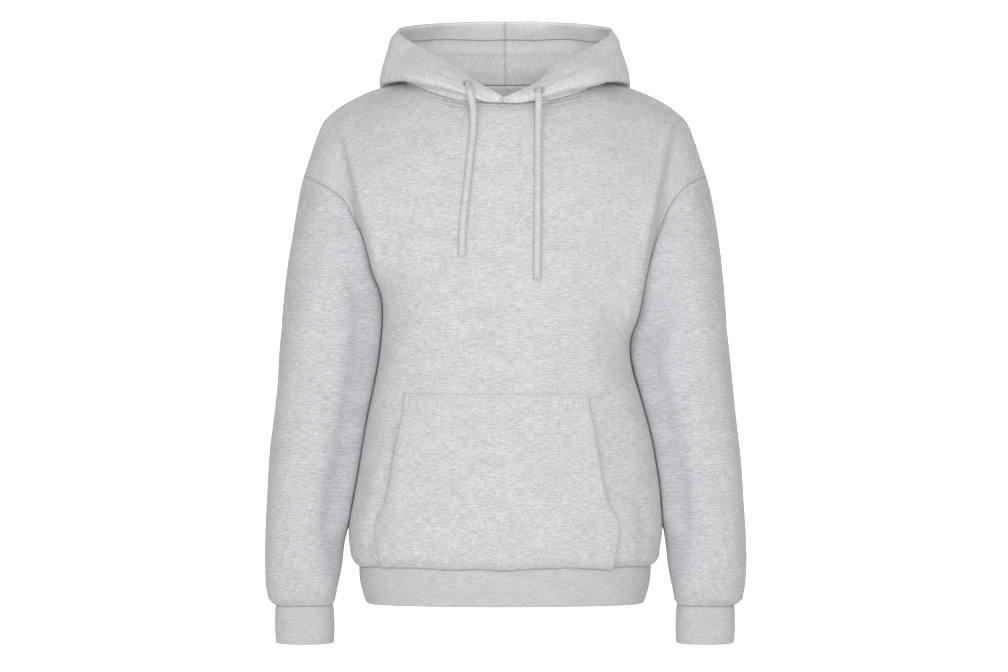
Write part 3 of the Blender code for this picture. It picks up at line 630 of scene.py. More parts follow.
# ---------------------------------------------------------------- laying the cloth
def grid_normals(points, ring, flip):
    """Outward directions over a grid of points."""
    if ring:
        across = np.roll(points, -1, axis=1) - np.roll(points, 1, axis=1)
    else:
        across = np.gradient(points, axis=1)
    along = np.gradient(points, axis=0)
    normal = np.cross(across, along)
    normal /= np.linalg.norm(normal, axis=2)[:, :, None] + 1e-9
    return -normal if flip else normal


def run_across(points):
    """Distance along each row, from its first point."""
    steps = np.linalg.norm(np.diff(points, axis=1), axis=2)
    return np.concatenate([np.zeros((len(points), 1)), np.cumsum(steps, axis=1)], 1)


def run_up(points):
    """Distance along each column, from its first point."""
    steps = np.linalg.norm(np.diff(points, axis=0), axis=2)
    return np.concatenate([np.zeros((1, points.shape[1])), np.cumsum(steps, axis=0)], 0)


def off_line(points, line):
    """Distance of each point of a grid from a line."""
    spots = evenly(line, np.linspace(0.0, 1.0, 500))
    return np.array([np.linalg.norm(row[:, None] - spots[None], axis=2).min(axis=1)
                     for row in points])


def fold(x, z, x0, z0, x1, z1, width, depth, bow):
    """One soft trough or ridge along a bowed line."""
    run = math.hypot(x1 - x0, z1 - z0)
    ax, az = (x1 - x0) / run, (z1 - z0) / run
    t = ((x - x0) * ax + (z - z0) * az) / run
    side = (z - z0) * ax - (x - x0) * az - bow * 4 * np.clip(t * (1 - t), 0, 1)
    # it fades out towards both of its ends
    ends = ease(t, -0.12, 0.3) * (1.0 - ease(t, 0.7, 1.12))
    return depth * bell(side, width) * ends


def beside_edges(across):
    """Distance of each point from the nearer end of its row."""
    return np.minimum(across, across[:, -1:] - across)


def stepped(points, share=1.0):
    """The cloth behind the fold edge at the front of each armhole, laid further back."""
    x, z = points[..., 0], points[..., 2]
    moved = points.copy()
    for side, sign in SIGN.items():
        beyond = x * sign - straight_table(FOLD_EDGE[side], z)
        strength = ease(-z, *STEP_TOP) * (1.0 - ease(-z, *STEP_FOOT)) * (x * sign > 60.0)
        # deepest just past the edge, then less, with a slight swell before the edge
        past = np.maximum(beyond - 3.5, 0.0)
        drop = ease(beyond, -2.0, 3.5) * (0.42 * np.exp(-past / 30.0) + 0.58 * bell(past, 9.0))
        drop -= 0.14 * bell(beyond + 6.0, 7.0)
        moved[..., 1] += STEP_BACK * strength * drop * share
    return moved


def behind(points, sign):
    """A sleeve's front laid back next to the body it hangs behind."""
    x, y = points[..., 0] * sign, points[..., 1]
    inner = x.min(axis=1, keepdims=True)
    middle = (y.min(axis=1, keepdims=True) + y.max(axis=1, keepdims=True)) / 2
    share = straight_table(BEHIND, points[..., 2])
    moved = points.copy()
    moved[..., 1] += share * np.maximum(middle - y, 0.0) * bell(x - inner, BEHIND_REACH)
    return moved


def sided(points):
    """The right side of the body and the sleeve against it, drawn outwards."""
    middle = straight_table(SIDE_OUT, points[..., 2])
    shift = straight_table(SIDE_OUT, points[..., 2], 2)
    moved = points.copy()
    moved[..., 0] += shift * bell(points[..., 0] - middle, SIDE_REACH)
    return moved


def slack(points, seed, size, amount):
    """Gentle unevenness of hanging cloth, from a few broad waves."""
    chance = np.random.default_rng(seed)
    x, y, z = np.moveaxis(points, -1, 0)
    total = np.zeros(x.shape)
    for _ in range(9):
        way = chance.normal(size=3) * (1.0, 1.0, 0.7)
        way *= chance.uniform(0.7, 1.6) / (size * np.linalg.norm(way))
        total += np.sin((x * way[0] + y * way[1] + z * way[2]) * 2 * math.pi
                        + chance.uniform(0, 2 * math.pi))
    return total / 3.0 * amount


def pucker(along, away, seed, reach, amount):
    """Small gathers beside a seam that draws the cloth in."""
    chance = np.random.default_rng(seed)
    total = np.zeros(along.shape)
    for pitch in GATHER_PITCHES:
        total += np.sin(along / pitch * 2 * math.pi + chance.uniform(0, 6.28)) * pitch
    swell = 0.6 + 0.4 * np.sin(along / 83.0 + chance.uniform(0, 6.28))
    fade = bell(away, reach) * ease(away, 0.0, 5.0)
    return total / 38.0 * swell * fade * amount


def tree_of(*grids):
    """A tree over grids of points, in millimetres, for finding the cloth at a place."""
    spots = []
    cells = []
    for grid in grids:
        rows, cols = grid.shape[:2]
        start = len(spots)
        spots += [Vector(spot) for spot in grid.reshape(-1, 3)]
        for r in range(rows - 1):
            for c in range(cols - 1):
                corner = start + r * cols + c
                cells.append((corner, corner + 1, corner + 1 + cols, corner + cols))
    return BVHTree.FromPolygons(spots, cells)


def seen(tree, x, z):
    """The outermost cloth in front at a place, and its outward direction."""
    lift = 0.0
    spot = None
    while spot is None:
        before = Vector((x, -400.0, z + lift))
        spot, way, _, _ = tree.ray_cast(before, Vector((0, 1, 0)))
        lift += 0.6
    out = np.array(way if way.y < 0 else -way)
    return np.array((spot.x, spot.y, z)), out


def cloth(name, points, u, v, marks, ring, flip, material, wall=SHELL):
    """A shell of cloth over a grid of points, with its knit laid out in metres.

    Each mark is a distance that the finish reads. A wall of nought is for a closed form.
    """
    rows, cols = points.shape[:2]
    across = cols + 1 if ring else cols
    bm = bmesh.new()
    places = bm.verts.layers.int.new("place")
    layers = {key: bm.verts.layers.float.new(key) for key in marks}
    made = bmesh.ops.create_grid(bm, x_segments=across - 1, y_segments=rows - 1,
                                 size=1.0)["verts"]
    knit = bm.loops.layers.uv.new("knit")
    for index, vert in enumerate(made):
        r, c = divmod(index, across)
        vert.co = points[r, c % cols] * MM
        vert[places] = index
        for key, layer in layers.items():
            vert[layer] = marks[key][r, c % cols] * MM
    for face in bm.faces:
        for loop in face.loops:
            r, c = divmod(loop.vert[places], across)
            loop[knit].uv = (u[r, c] * MM, v[r, c] * MM)
    if ring:
        loops = [made[r * across:(r + 1) * across] for r in range(rows)]
        bmesh.ops.weld_verts(bm, targetmap={line[-1]: line[0] for line in loops})
    bm.verts.layers.int.remove(places)
    bm.normal_update()
    expected = grid_normals(points, ring, flip)[rows // 2, cols // 2]
    middle = Vector(points[rows // 2, cols // 2] * MM)
    nearest = min(bm.faces, key=lambda f: (f.calc_center_median() - middle).length_squared)
    if nearest.normal.dot(Vector(expected)) < 0:
        bmesh.ops.reverse_faces(bm, faces=list(bm.faces))
    thing = piece(name, bm, material)
    if wall:
        shell = thing.modifiers.new("cloth", "SOLIDIFY")
        shell.thickness = wall * MM
        shell.offset = -1.0
    return thing


def piece(name, bm, material):
    """A named object from a finished bmesh, smooth and in its own finish."""
    mesh = bpy.data.meshes.new(name)
    bm.to_mesh(mesh)
    bm.free()
    mesh.shade_smooth()
    mesh.materials.append(material)
    thing = bpy.data.objects.new(name, mesh)
    bpy.context.scene.collection.objects.link(thing)
    return thing


# ---------------------------------------------------------------- finishes
def group(name, inputs, outputs):
    """A shader node group with named sockets."""
    tree = bpy.data.node_groups.new(name, "ShaderNodeTree")
    for label, kind, value in inputs:
        socket = tree.interface.new_socket(name=label, in_out="INPUT", socket_type=kind)
        if value is not None:
            socket.default_value = value
    for label, kind in outputs:
        tree.interface.new_socket(name=label, in_out="OUTPUT", socket_type=kind)
    return tree, tree.nodes.new("NodeGroupInput"), tree.nodes.new("NodeGroupOutput")


def math_node(tree, operation, first, second=None, third=None):
    """One step of arithmetic on sockets or plain numbers."""
    node = tree.nodes.new("ShaderNodeMath")
    node.operation = operation
    for socket, value in zip(node.inputs, (first, second, third)):
        if value is None:
            continue
        if isinstance(value, (int, float)):
            socket.default_value = value
        else:
            tree.links.new(value, socket)
    return node.outputs[0]


def stretched(tree, vector, scale):
    """A place's coordinates, drawn out along each axis."""
    node = tree.nodes.new("ShaderNodeMapping")
    node.inputs["Scale"].default_value = scale
    tree.links.new(vector, node.inputs["Vector"])
    return node.outputs[0]


def noise(tree, vector, scale, detail, rough=0.5):
    """Cloudy noise over a place's coordinates."""
    node = tree.nodes.new("ShaderNodeTexNoise")
    node.inputs["Scale"].default_value = scale
    node.inputs["Detail"].default_value = detail
    node.inputs["Roughness"].default_value = rough
    tree.links.new(vector, node.inputs["Vector"])
    return node.outputs["Fac"]


def mixed(tree, factor, first, second, blend="MIX"):
    """Two colours mixed, each one a socket or a plain colour."""
    node = tree.nodes.new("ShaderNodeMix")
    node.data_type = "RGBA"
    node.blend_type = blend
    tree.links.new(factor, node.inputs[0])
    for socket, colour in ((node.inputs[6], first), (node.inputs[7], second)):
        if isinstance(colour, tuple):
            socket.default_value = colour
        else:
            tree.links.new(colour, socket)
    return node.outputs[2]


def bumped(tree, height, distance, strength, shader):
    """A height laid over a shader's surface."""
    bump = tree.nodes.new("ShaderNodeBump")
    bump.inputs["Distance"].default_value = distance
    bump.inputs["Strength"].default_value = strength
    tree.links.new(height, bump.inputs["Height"])
    tree.links.new(bump.outputs[0], shader.inputs["Normal"])


def ramped(tree, value, low, high, ends, shader):
    """A shader's colour, from low to high as a value grows between two ends."""
    ramp = tree.nodes.new("ShaderNodeValToRGB")
    for element, end, colour in zip(ramp.color_ramp.elements, ends, (low, high)):
        element.position = end
        element.color = (*colour, 1)
    tree.links.new(value, ramp.inputs[0])
    tree.links.new(ramp.outputs[0], shader.inputs["Base Color"])


def finish(name, **settings):
    """A new material, its node tree and its shader with the given settings."""
    material = bpy.data.materials.new(name)
    material.use_nodes = True
    shader = material.node_tree.nodes["Principled BSDF"]
    for label, value in settings.items():
        shader.inputs[label.replace("_", " ")].default_value = value
    return material, material.node_tree, shader


# the marl's layers: how fine across and up, detail, roughness, share of the whole
FLECKS = [
    ((85, 620, 1), 3.0, 0.68, 0.42),
    ((260, 900, 1), 2.0, 0.65, 0.34),
    ((900, 1200, 1), 1.0, 0.5, 0.13),
    ((22, 60, 1), 3.0, 0.6, 0.11),
]
FLECK_CONTRAST = 7.6


def heather_group():
    """Marl of the yarn: light and dark flecks drawn out along the courses."""
    tree, given, out = group("heather_marl", [
        ("Knit", "NodeSocketVector", None),
        ("Light", "NodeSocketColor", (0.7, 0.7, 0.72, 1)),
        ("Dark", "NodeSocketColor", (0.5, 0.5, 0.52, 1)),
        ("Fleck", "NodeSocketFloat", 1.0),
    ], [("Color", "NodeSocketColor"), ("Fleck", "NodeSocketFloat")])
    knit = given.outputs["Knit"]
    # the courses wander up and down by a few millimetres
    wander = noise(tree, stretched(tree, knit, (30, 30, 1)), 1.0, 2.0)
    shift = tree.nodes.new("ShaderNodeCombineXYZ")
    tree.links.new(math_node(tree, "MULTIPLY_ADD", wander, 0.007, -0.0035),
                   shift.inputs["Y"])
    bent = tree.nodes.new("ShaderNodeVectorMath")
    bent.operation = "ADD"
    tree.links.new(knit, bent.inputs[0])
    tree.links.new(shift.outputs[0], bent.inputs[1])
    way = bent.outputs[0]
    total = None
    for scale, detail, rough, weight in FLECKS:
        layer = noise(tree, stretched(tree, way, scale), 1.0, detail, rough)
        layer = math_node(tree, "MULTIPLY", layer, weight)
        total = layer if total is None else math_node(tree, "ADD", total, layer)
    drawn = math_node(tree, "SUBTRACT", total, 0.5)
    drawn = math_node(tree, "MULTIPLY", drawn, FLECK_CONTRAST)
    drawn = math_node(tree, "MULTIPLY", drawn, given.outputs["Fleck"])
    level = tree.nodes.new("ShaderNodeMath")
    level.operation = "ADD"
    level.use_clamp = True
    level.inputs[1].default_value = 0.5
    tree.links.new(drawn, level.inputs[0])
    colour = mixed(tree, level.outputs[0], given.outputs["Dark"], given.outputs["Light"])
    tree.links.new(colour, out.inputs["Color"])
    tree.links.new(level.outputs[0], out.inputs["Fleck"])
    return tree


def loops_group():
    """Knit loops: upright wales crossed by courses, with a little fuzz over them."""
    tree, given, out = group("knit_loops", [
        ("Knit", "NodeSocketVector", None),
        ("Wales", "NodeSocketFloat", 900.0),
        ("Fuzz", "NodeSocketFloat", 0.5),
    ], [("Height", "NodeSocketFloat")])
    split = tree.nodes.new("ShaderNodeSeparateXYZ")
    tree.links.new(given.outputs["Knit"], split.inputs[0])
    across = math_node(tree, "MULTIPLY", split.outputs["X"], given.outputs["Wales"])
    turn = math_node(tree, "MULTIPLY", across, 2 * math.pi)
    lean = math_node(tree, "ABSOLUTE", math_node(tree, "SINE", math_node(
        tree, "MULTIPLY", across, math.pi)))
    up = math_node(tree, "MULTIPLY", split.outputs["Y"], given.outputs["Wales"])
    up = math_node(tree, "MULTIPLY", up, 2 * math.pi * 1.25)
    course = math_node(tree, "SINE", math_node(tree, "ADD", up, math_node(
        tree, "MULTIPLY", lean, 2.4)))
    wale = math_node(tree, "COSINE", turn)
    loops = math_node(tree, "ADD", math_node(tree, "MULTIPLY", wale, -0.32),
                      math_node(tree, "MULTIPLY", course, 0.3))
    fuzz = noise(tree, stretched(tree, given.outputs["Knit"], (1500, 2300, 1)),
                 1.0, 2.0, 0.6)
    total = math_node(tree, "ADD", loops, math_node(
        tree, "MULTIPLY", fuzz, given.outputs["Fuzz"]))
    tree.links.new(total, out.inputs["Height"])
    return tree


def dent(tree, off, sharp):
    """One on a line, fading within a millimetre or so of it."""
    near = math_node(tree, "POWER", math_node(tree, "MULTIPLY", off, sharp), 2.0)
    return math_node(tree, "EXPONENT", math_node(tree, "MULTIPLY", near, -1.0))


def sewn_group():
    """Two rows of sewing and the seam beside them, sunk into the cloth."""
    tree, given, out = group("sewn_rows", [
        ("Distance", "NodeSocketFloat", 1.0),
        ("Row 1", "NodeSocketFloat", 0.0034),
        ("Row 2", "NodeSocketFloat", 0.0094),
        ("Seam", "NodeSocketFloat", 1.0),
    ], [("Sunk", "NodeSocketFloat")])
    distance = given.outputs["Distance"]
    first, second = (dent(tree, math_node(tree, "SUBTRACT", distance, given.outputs[label]),
                          950.0)
                     for label in ("Row 1", "Row 2"))
    edge = math_node(tree, "MULTIPLY", dent(tree, distance, 900.0), given.outputs["Seam"])
    rows = math_node(tree, "ADD", first, second)
    tree.links.new(math_node(tree, "ADD", rows, edge), out.inputs["Sunk"])
    return tree


HEATHER = heather_group()
LOOPS = loops_group()
SEWN = sewn_group()


def placed(tree, inner):
    """A node group set into a material."""
    node = tree.nodes.new("ShaderNodeGroup")
    node.node_tree = inner
    return node


def fleece(name, light, dark, sewn=(), fleck=1.0, wales=820.0):
    """Brushed heather knit. sewn has each sewn edge's mark, its rows, seam and shade."""
    material, tree, shader = finish(name, Roughness=0.93, Specular_IOR_Level=0.18,
                                    Sheen_Weight=0.22, Sheen_Roughness=0.55,
                                    Sheen_Tint=(0.95, 0.96, 1.0, 1))
    knit = tree.nodes.new("ShaderNodeUVMap")
    knit.uv_map = "knit"
    marl = placed(tree, HEATHER)
    marl.inputs["Light"].default_value = (*light, 1)
    marl.inputs["Dark"].default_value = (*dark, 1)
    marl.inputs["Fleck"].default_value = fleck
    tree.links.new(knit.outputs[0], marl.inputs["Knit"])
    loops = placed(tree, LOOPS)
    loops.inputs["Wales"].default_value = wales
    tree.links.new(knit.outputs[0], loops.inputs["Knit"])
    height = math_node(tree, "MULTIPLY", loops.outputs["Height"], 0.12)
    height = math_node(tree, "ADD", height, math_node(
        tree, "MULTIPLY", marl.outputs["Fleck"], 0.16))
    colour = marl.outputs["Color"]
    for mark, first, second, seam, shade in sewn:
        read = tree.nodes.new("ShaderNodeAttribute")
        read.attribute_name = mark
        rows = placed(tree, SEWN)
        rows.inputs["Row 1"].default_value = first * MM
        rows.inputs["Row 2"].default_value = second * MM
        rows.inputs["Seam"].default_value = seam
        tree.links.new(read.outputs["Fac"], rows.inputs["Distance"])
        sunk = rows.outputs["Sunk"]
        height = math_node(tree, "SUBTRACT", height, math_node(
            tree, "MULTIPLY", sunk, 0.9))
        colour = mixed(tree, math_node(tree, "MULTIPLY", sunk, shade), colour, SEAM_SHADE,
                       "MULTIPLY")
    bumped(tree, height, 0.0006, 0.8, shader)
    tree.links.new(colour, shader.inputs["Base Color"])
    return material


def thread(name, colour):
    """Spun sewing thread."""
    material, tree, shader = finish(name, Roughness=0.7, Sheen_Weight=0.1)
    place = tree.nodes.new("ShaderNodeTexCoord")
    twist = noise(tree, place.outputs["Object"], 1400.0, 2.0)
    ramped(tree, twist, [c * 0.82 for c in colour], colour, (0.3, 0.7), shader)
    bumped(tree, twist, 0.0001, 0.5, shader)
    return material


# light and dark yarn of each knit, and the marks of its sewn edges; the hood's outer cloth and
# the inner faces of hood, collar and body are lighter copies of the one grey fleece, painted
# light, and the eyelet thread is painted dark as painted shade
SEAM_SHADE = (0.42, 0.42, 0.44, 1)
GREY_LIGHT = (0.685, 0.69, 0.70)
GREY_DARK = (0.465, 0.47, 0.48)
FRONT_FLEECE = fleece("front_fleece", GREY_LIGHT, GREY_DARK,
                      [("from_neck", *NECK_ROWS, 0.4, 0.4),
                       ("from_arm", ARM_ROW, NO_ROW, 0.25, 0.1),
                       ("from_hem", 0.0, NO_ROW, 0.3, 0.05)])
SLEEVE_FLEECE = fleece("sleeve_fleece", (0.655, 0.663, 0.683), (0.44, 0.447, 0.465),
                       [("from_arm", ARM_ROW, NO_ROW, 0.25, 0.1),
                        ("from_hem", 0.0, NO_ROW, 0.3, 0.05)])
# the hood's outer cloth is painted lighter than the body's, as painted light
HOOD_FLEECE_PAINTED_LIGHT = fleece("hood_fleece_painted_light", (0.77, 0.776, 0.788), (0.54, 0.546, 0.556),
                     [("from_rim", 0.0, NO_ROW, 0.0, 0.14),
                      ("from_middle", MIDDLE_ROW, NO_ROW, 0.4, 0.06)])
# the hood's inside is painted near white, as painted light in its shaded hollow
HOOD_INSIDE_PAINTED_LIGHT = fleece("hood_inside_painted_light", (0.97, 0.975, 0.985), (0.78, 0.785, 0.795),
                     [("from_middle", NO_ROW, NO_ROW, 0.1, 0.02)])
# the body's inside is painted light, as painted light where it lies in shade
BODY_INSIDE_PAINTED_LIGHT = fleece("body_inside_painted_light", (0.90, 0.90, 0.90), (0.65, 0.65, 0.65))
# the collar's inside is painted lighter than the body's fleece, as painted light
COLLAR_INSIDE_PAINTED_LIGHT = fleece("collar_inside_painted_light", (0.76, 0.762, 0.767), (0.54, 0.542, 0.547),
                       [("from_middle", NO_ROW, NO_ROW, 0.1, 0.02)])
POCKET_FLEECE = fleece("pocket_fleece", GREY_LIGHT, GREY_DARK,
                       [("from_edge", *POCKET_ROWS, 0.0, 0.07)])
RIB_KNIT = fleece("rib_knit", (0.61, 0.615, 0.627), (0.45, 0.455, 0.467),
                  fleck=0.8, wales=700.0)
CORD_KNIT = fleece("cord_knit", (0.67, 0.673, 0.68), (0.51, 0.513, 0.522),
                   fleck=0.8, wales=1400.0)
THREAD = thread("grey_thread", (0.84, 0.845, 0.86))
# the eyelet stitches are painted dark, as painted shade in the opening round the cord
EYELET_THREAD_PAINTED_SHADE = thread("eyelet_thread_painted_shade", (0.50, 0.505, 0.515))

# ---------------------------------------------------------------- camera
CAMERA_AT = (-0.0013, -3.5, -0.330)
LENS = 96.0
SENSOR = 36.0

lens = bpy.data.cameras.new("camera")
lens.sensor_width = SENSOR
lens.lens = LENS
camera = bpy.data.objects.new("camera", lens)
camera.location = CAMERA_AT
camera.rotation_euler = (math.pi / 2, 0.0, 0.0)
bpy.context.scene.collection.objects.link(camera)
bpy.context.scene.camera = camera

# ---------------------------------------------------------------- skins of the pieces
front_half = body_half(True)
back_half = body_half(False)
rings = sleeve_rings(front_half, back_half)
hood_rows, hood_shares, hood_cols = hood_half()
panel_cols = np.arange(-HALF_COLS, HALF_COLS + COL_STEP / 2, COL_STEP)
at_neck = np.abs(panel_cols) <= NECK_COLS + 1e-6
low_rows = len(front_half) - ARM_ROWS - 1


def panel_marks(points):
    """Distances from the panel's seams, and the lie of its knit."""
    up = run_up(points)
    across = run_across(points)
    middle = across[:, [len(panel_cols) // 2]]
    beside = beside_edges(across)
    # a seam's mark grows quickly past the seam's own end
    past_neck = np.maximum(np.abs(panel_cols) - NECK_COLS, 0.0)[None, :] * 25.0
    below_arm = np.maximum(low_rows - np.arange(len(points)), 0.0)[:, None] * 4.0
    # the courses run level to the last two guide columns, and turn with them
    fold_edge = int(2 / COL_STEP)
    inner = np.clip(np.arange(len(panel_cols)), fold_edge, len(panel_cols) - 1 - fold_edge)
    grain = run_up(points * (0, 1, 1))
    return {
        "u": across - middle,
        "v": grain[:, inner],
        "from_neck": off_line(points, points[-1, at_neck]) + past_neck,
        "from_arm": beside + below_arm,
        "from_side": beside,
        "from_hem": up,
        "from_top": up[-1:] - up,
    }


def panel_form(half, front):
    """The front or back with its folds, its outward directions and its marks."""
    flat = settled(whole_panel(half))
    normal = grid_normals(flat, False, not front)
    marks = panel_marks(flat)
    x, z = flat[..., 0], flat[..., 2]
    rise = slack(flat, 11 if front else 23, 150.0, 0.9)
    for row in (FRONT_FOLDS if front else BACK_FOLDS):
        rise += fold(x, z, *row)
    away = np.minimum(np.minimum(marks["from_side"], marks["from_hem"]),
                      np.minimum(marks["from_neck"], marks["from_top"]))
    rise *= ease(away, 0.0, 28.0)
    if front:
        near = sum(fold(x, z, *row) for row in ARM_FOLDS)
        rise += near * ease(away, 0.0, 9.0)
    rise += pucker(marks["u"], marks["from_hem"], 5 if front else 6, 20.0, 0.8)
    rise += pucker(marks["u"], marks["from_neck"], 7 if front else 8, 15.0, 0.45)
    away = np.minimum(marks["from_hem"], marks["from_neck"])
    rise -= SEAM_DRAW * bell(away, SEAM_REACH)
    shaped = flat + normal * rise[..., None]
    if front:
        shaped = stepped(shaped)
    shaped = sided(hem_set(shaped))
    return shaped, grid_normals(shaped, False, not front), marks


def nestled(points, normal, down, sign, body):
    """The inner wall of a sleeve laid close beside the body."""
    shift = np.zeros(points.shape[:2])
    for r, c in np.ndindex(*shift.shape):
        inward = -normal[r, c, 0] * sign
        if inward < 0.1 or down[r, c] < 1.0:
            continue
        spot = Vector(points[r, c])
        _, _, _, far = body.ray_cast(spot, Vector((-sign, 0, 0)), NESTLE_REACH)
        if far is not None:
            # next to the armpit the two lie almost against each other
            clear = CLEAR - 1.1 * (1.0 - float(ease(down[r, c], 24.0, 70.0)))
            close = min(max(far - clear, -1.0), NESTLE)
            shift[r, c] = close * ease(inward, 0.12, 0.6) * (1.0 - ease(far, 14.0, 40.0))
    shift *= ease(down, 0.0, 9.0) * (1.0 - ease(-points[..., 2], *NESTLE_FOOT))
    for _ in range(3):
        shift = (shift + np.roll(shift, 1, 1) + np.roll(shift, -1, 1)) / 3.0
        shift[1:-1] = (shift[:-2] + shift[1:-1] + shift[2:]) / 3.0
    moved = points.copy()
    moved[..., 0] -= sign * shift
    return moved


def sleeve_form(side, body):
    """A sleeve with its folds, laid beside the body, and its marks."""
    sign = SIGN[side]
    flip = side == "right"
    flat = settled(rings) if flip else mirrored(rings)
    normal = grid_normals(flat, True, flip)
    down = run_up(flat)
    x, z = flat[..., 0] * sign, flat[..., 2]
    rise = slack(flat, 31 if flip else 47, 110.0, 0.9)
    for *row, facing in SLEEVE_FOLDS[side]:
        rise += fold(x, z, *row) * np.clip(normal[..., 1] * facing, 0.0, 1.0)
    to_cuff = down[-1:] - down
    rise *= ease(down, 0.0, 25.0) * ease(to_cuff, 0.0, 18.0)
    tuck = bell(down - 9.0, 8.0) * np.clip(-normal[..., 1], 0.0, 1.0)
    rise -= 0.8 * tuck * ease(-z, 150.0, 190.0) * (1.0 - ease(-z, 290.0, 340.0))
    closed = ring_closed(flat)
    around = run_across(closed)
    rise += pucker(around[:, :-1], to_cuff, 9 if flip else 10, 17.0, 1.2)
    rise -= SEAM_DRAW * bell(to_cuff, SEAM_REACH)
    shaped = flat + normal * rise[..., None]
    shaped = stepped(shaped, ease(-normal[..., 1], 0.0, 0.45))
    shaped = behind(sided(shaped), sign)
    for _ in range(2):
        shaped = nestled(shaped, normal, down, sign, body)
    # the wales run down the sleeve and close up a little where it narrows
    mean = around[:, -1:].mean()
    u = (around / around[:, -1:] - 0.5) * (0.35 * mean + 0.65 * around[:, -1:])
    v = 1.04 * closed[..., 2]
    return shaped, grid_normals(shaped, True, flip), {"u": u, "v": v, "from_arm": down,
                                                      "from_hem": to_cuff}


def casing_width(cols):
    """Width of the hood's folded edge, wider where the cord comes out."""
    return CASING + CASING_GAIN * ease(cols, 7.0, 11.0)


def hood_dressed(flat, side):
    """The rim drawn to a sharp V in front, over a lip that hangs before the neck seam."""
    shaped = flat.copy()
    across = np.abs(flat[-1, :, 0])
    # the V takes in the front of the rim and fades out towards the neck seam
    near = (1.0 - ease(across, 38.0, 64.0)) * ease(hood_cols, 8.6, 9.6)
    late = ease(hood_shares, 0.25, 0.95)[:, None]
    aim = V_LOW + V_SLOPE[side] * across - V_DROP[side] * np.exp(-across / 4.5)
    aim_y = V_FRONT + 0.83 * across
    shaped[..., 2] += late * (near * (aim - flat[-1, :, 2]))[None]
    shaped[..., 1] += late * (near * 0.45 * (aim_y - flat[-1, :, 1]))[None]
    # one flap laps over the other at the middle
    over = ease(hood_cols, 10.6, 12.0)[None, :]
    late = ease(hood_shares, 0.05, 0.4)[:, None]
    sideways, forward, slant = V_LAP[side]
    shaped[..., 0] += over * late * (sideways + slant * (1.0 - hood_shares[:, None]))
    shaped[..., 1] -= over * late * forward
    return shaped


def hood_lip(side):
    """The lip that hangs over the neck seam, and the tuck below it."""
    share = hood_shares[:, None]
    ridge, ridge_at, tuck, tuck_at = LIP[side]
    lip = ridge * bell(share - ridge_at, 0.10) - tuck * bell(share - tuck_at, 0.7 * tuck_at)
    window = ease(hood_cols, 7.0, 8.8) * (1.0 - ease(hood_cols, 11.3, 11.95))
    return lip * window[None] * ease(share, 0.0, 0.03)


def turned_in(shaped, normal, to_rim, width):
    """The rows of the rim as it rolls over and runs back down inside."""
    ahead = unit(shaped[-1] - shaped[-2])
    rows = []
    for turn in np.linspace(0, math.pi, 8)[1:]:
        rows.append(shaped[-1] - normal[-1] * FOLD_OVER * (1 - math.cos(turn))
                    + ahead * FOLD_OVER * math.sin(turn))
    cols = len(hood_cols)
    swell = CORD_ROOM * ease(hood_cols, 8.2, 9.4) * (1.0 - ease(hood_cols, 11.0, 11.8))
    for step in np.linspace(0, 1, 12)[1:]:
        line = np.empty((cols, 3))
        for c in range(cols):
            back = to_rim[::-1, c]
            want = step * width[0, c]
            spot = [np.interp(want, back, shaped[::-1, c, k]) for k in range(3)]
            lean = np.array([np.interp(want, back, normal[::-1, c, k]) for k in range(3)])
            gap = 2 * FOLD_OVER + swell[c] * math.sin(math.pi * step)
            # at its stitched line the casing lies on the outer cloth
            gap -= (2 * FOLD_OVER - 2 * SHELL - 0.1) * ease(step, 0.7, 1.0)
            line[c] = np.array(spot) - unit(lean) * gap
        rows.append(line)
    return np.array(rows)


def hood_form(side):
    """Half of the hood, whose rim is turned in to hold the cord."""
    flip = side == "right"
    sign = SIGN[side]
    flat = hood_dressed(hood_rows * (sign, 1, 1), side)
    normal = grid_normals(flat, False, flip)
    up = run_up(flat)
    to_rim = up[-1:] - up
    across = run_across(flat)
    beside = beside_edges(across)
    rise = slack(flat, 61 if flip else 67, 90.0, 1.0)
    x, z = flat[..., 0] * sign, flat[..., 2]
    forward = np.clip(-normal[..., 1], 0.0, 1.0)
    for row in HOOD_FOLDS[side]:
        rise += fold(x, z, *row) * forward
    rise *= ease(beside, 0.0, 24.0) * ease(up, 0.0, 16.0) * ease(to_rim, 0.0, 8.0)
    width = casing_width(hood_cols)[None, :]
    rise -= 0.6 * bell(to_rim - width, 2.6)
    rise -= 0.15 * bell(beside, 2.0)
    rise += hood_lip(side)
    shaped = flat + normal * rise[..., None]
    normal = grid_normals(shaped, False, flip)
    full = np.concatenate([shaped, turned_in(shaped, normal, to_rim, width)])
    full_up = run_up(full)
    beyond = full_up - full_up[len(flat) - 1]
    # the casing's stitched line, on the outer cloth and on what is turned in
    from_rim = np.where(beyond < 0, -beyond, np.maximum(beyond - ROLL_LENGTH, 0.0)) - width
    far = run_across(full)
    even = np.ones((len(full), 1)) * far.mean(axis=0, keepdims=True)
    middle_only = np.maximum(hood_cols - NECK_COLS, 0.0)[None, :] * 10.0
    return full, shaped, normal, {"u": full_up, "v": even * sign, "to_rim": to_rim,
                                  "from_rim": np.abs(from_rim), "across": across,
                                  "from_middle": beside_edges(far) + middle_only}


front_skin, front_out, front_marks = panel_form(front_half, True)
back_skin, back_out, back_marks = panel_form(back_half, False)
body_tree = tree_of(front_skin, back_skin)
sleeve_skins = {side: sleeve_form(side, body_tree) for side in SIGN}
hood_skins = {side: hood_form(side) for side in SIGN}
front_tree = tree_of(front_skin, hood_skins["left"][1], hood_skins["right"][1])


# ---------------------------------------------------------------- drawcords
def sweep(path, out, outline):
    """Points of a tube along a path: outline gives across and through at each angle."""
    ahead = unit(np.gradient(path, axis=0))
    side = unit(np.cross(ahead, out))
    top = np.cross(side, ahead)
    across, through = outline
    return (path[:, None] + side[:, None] * across[..., None]
            + top[:, None] * through[..., None])


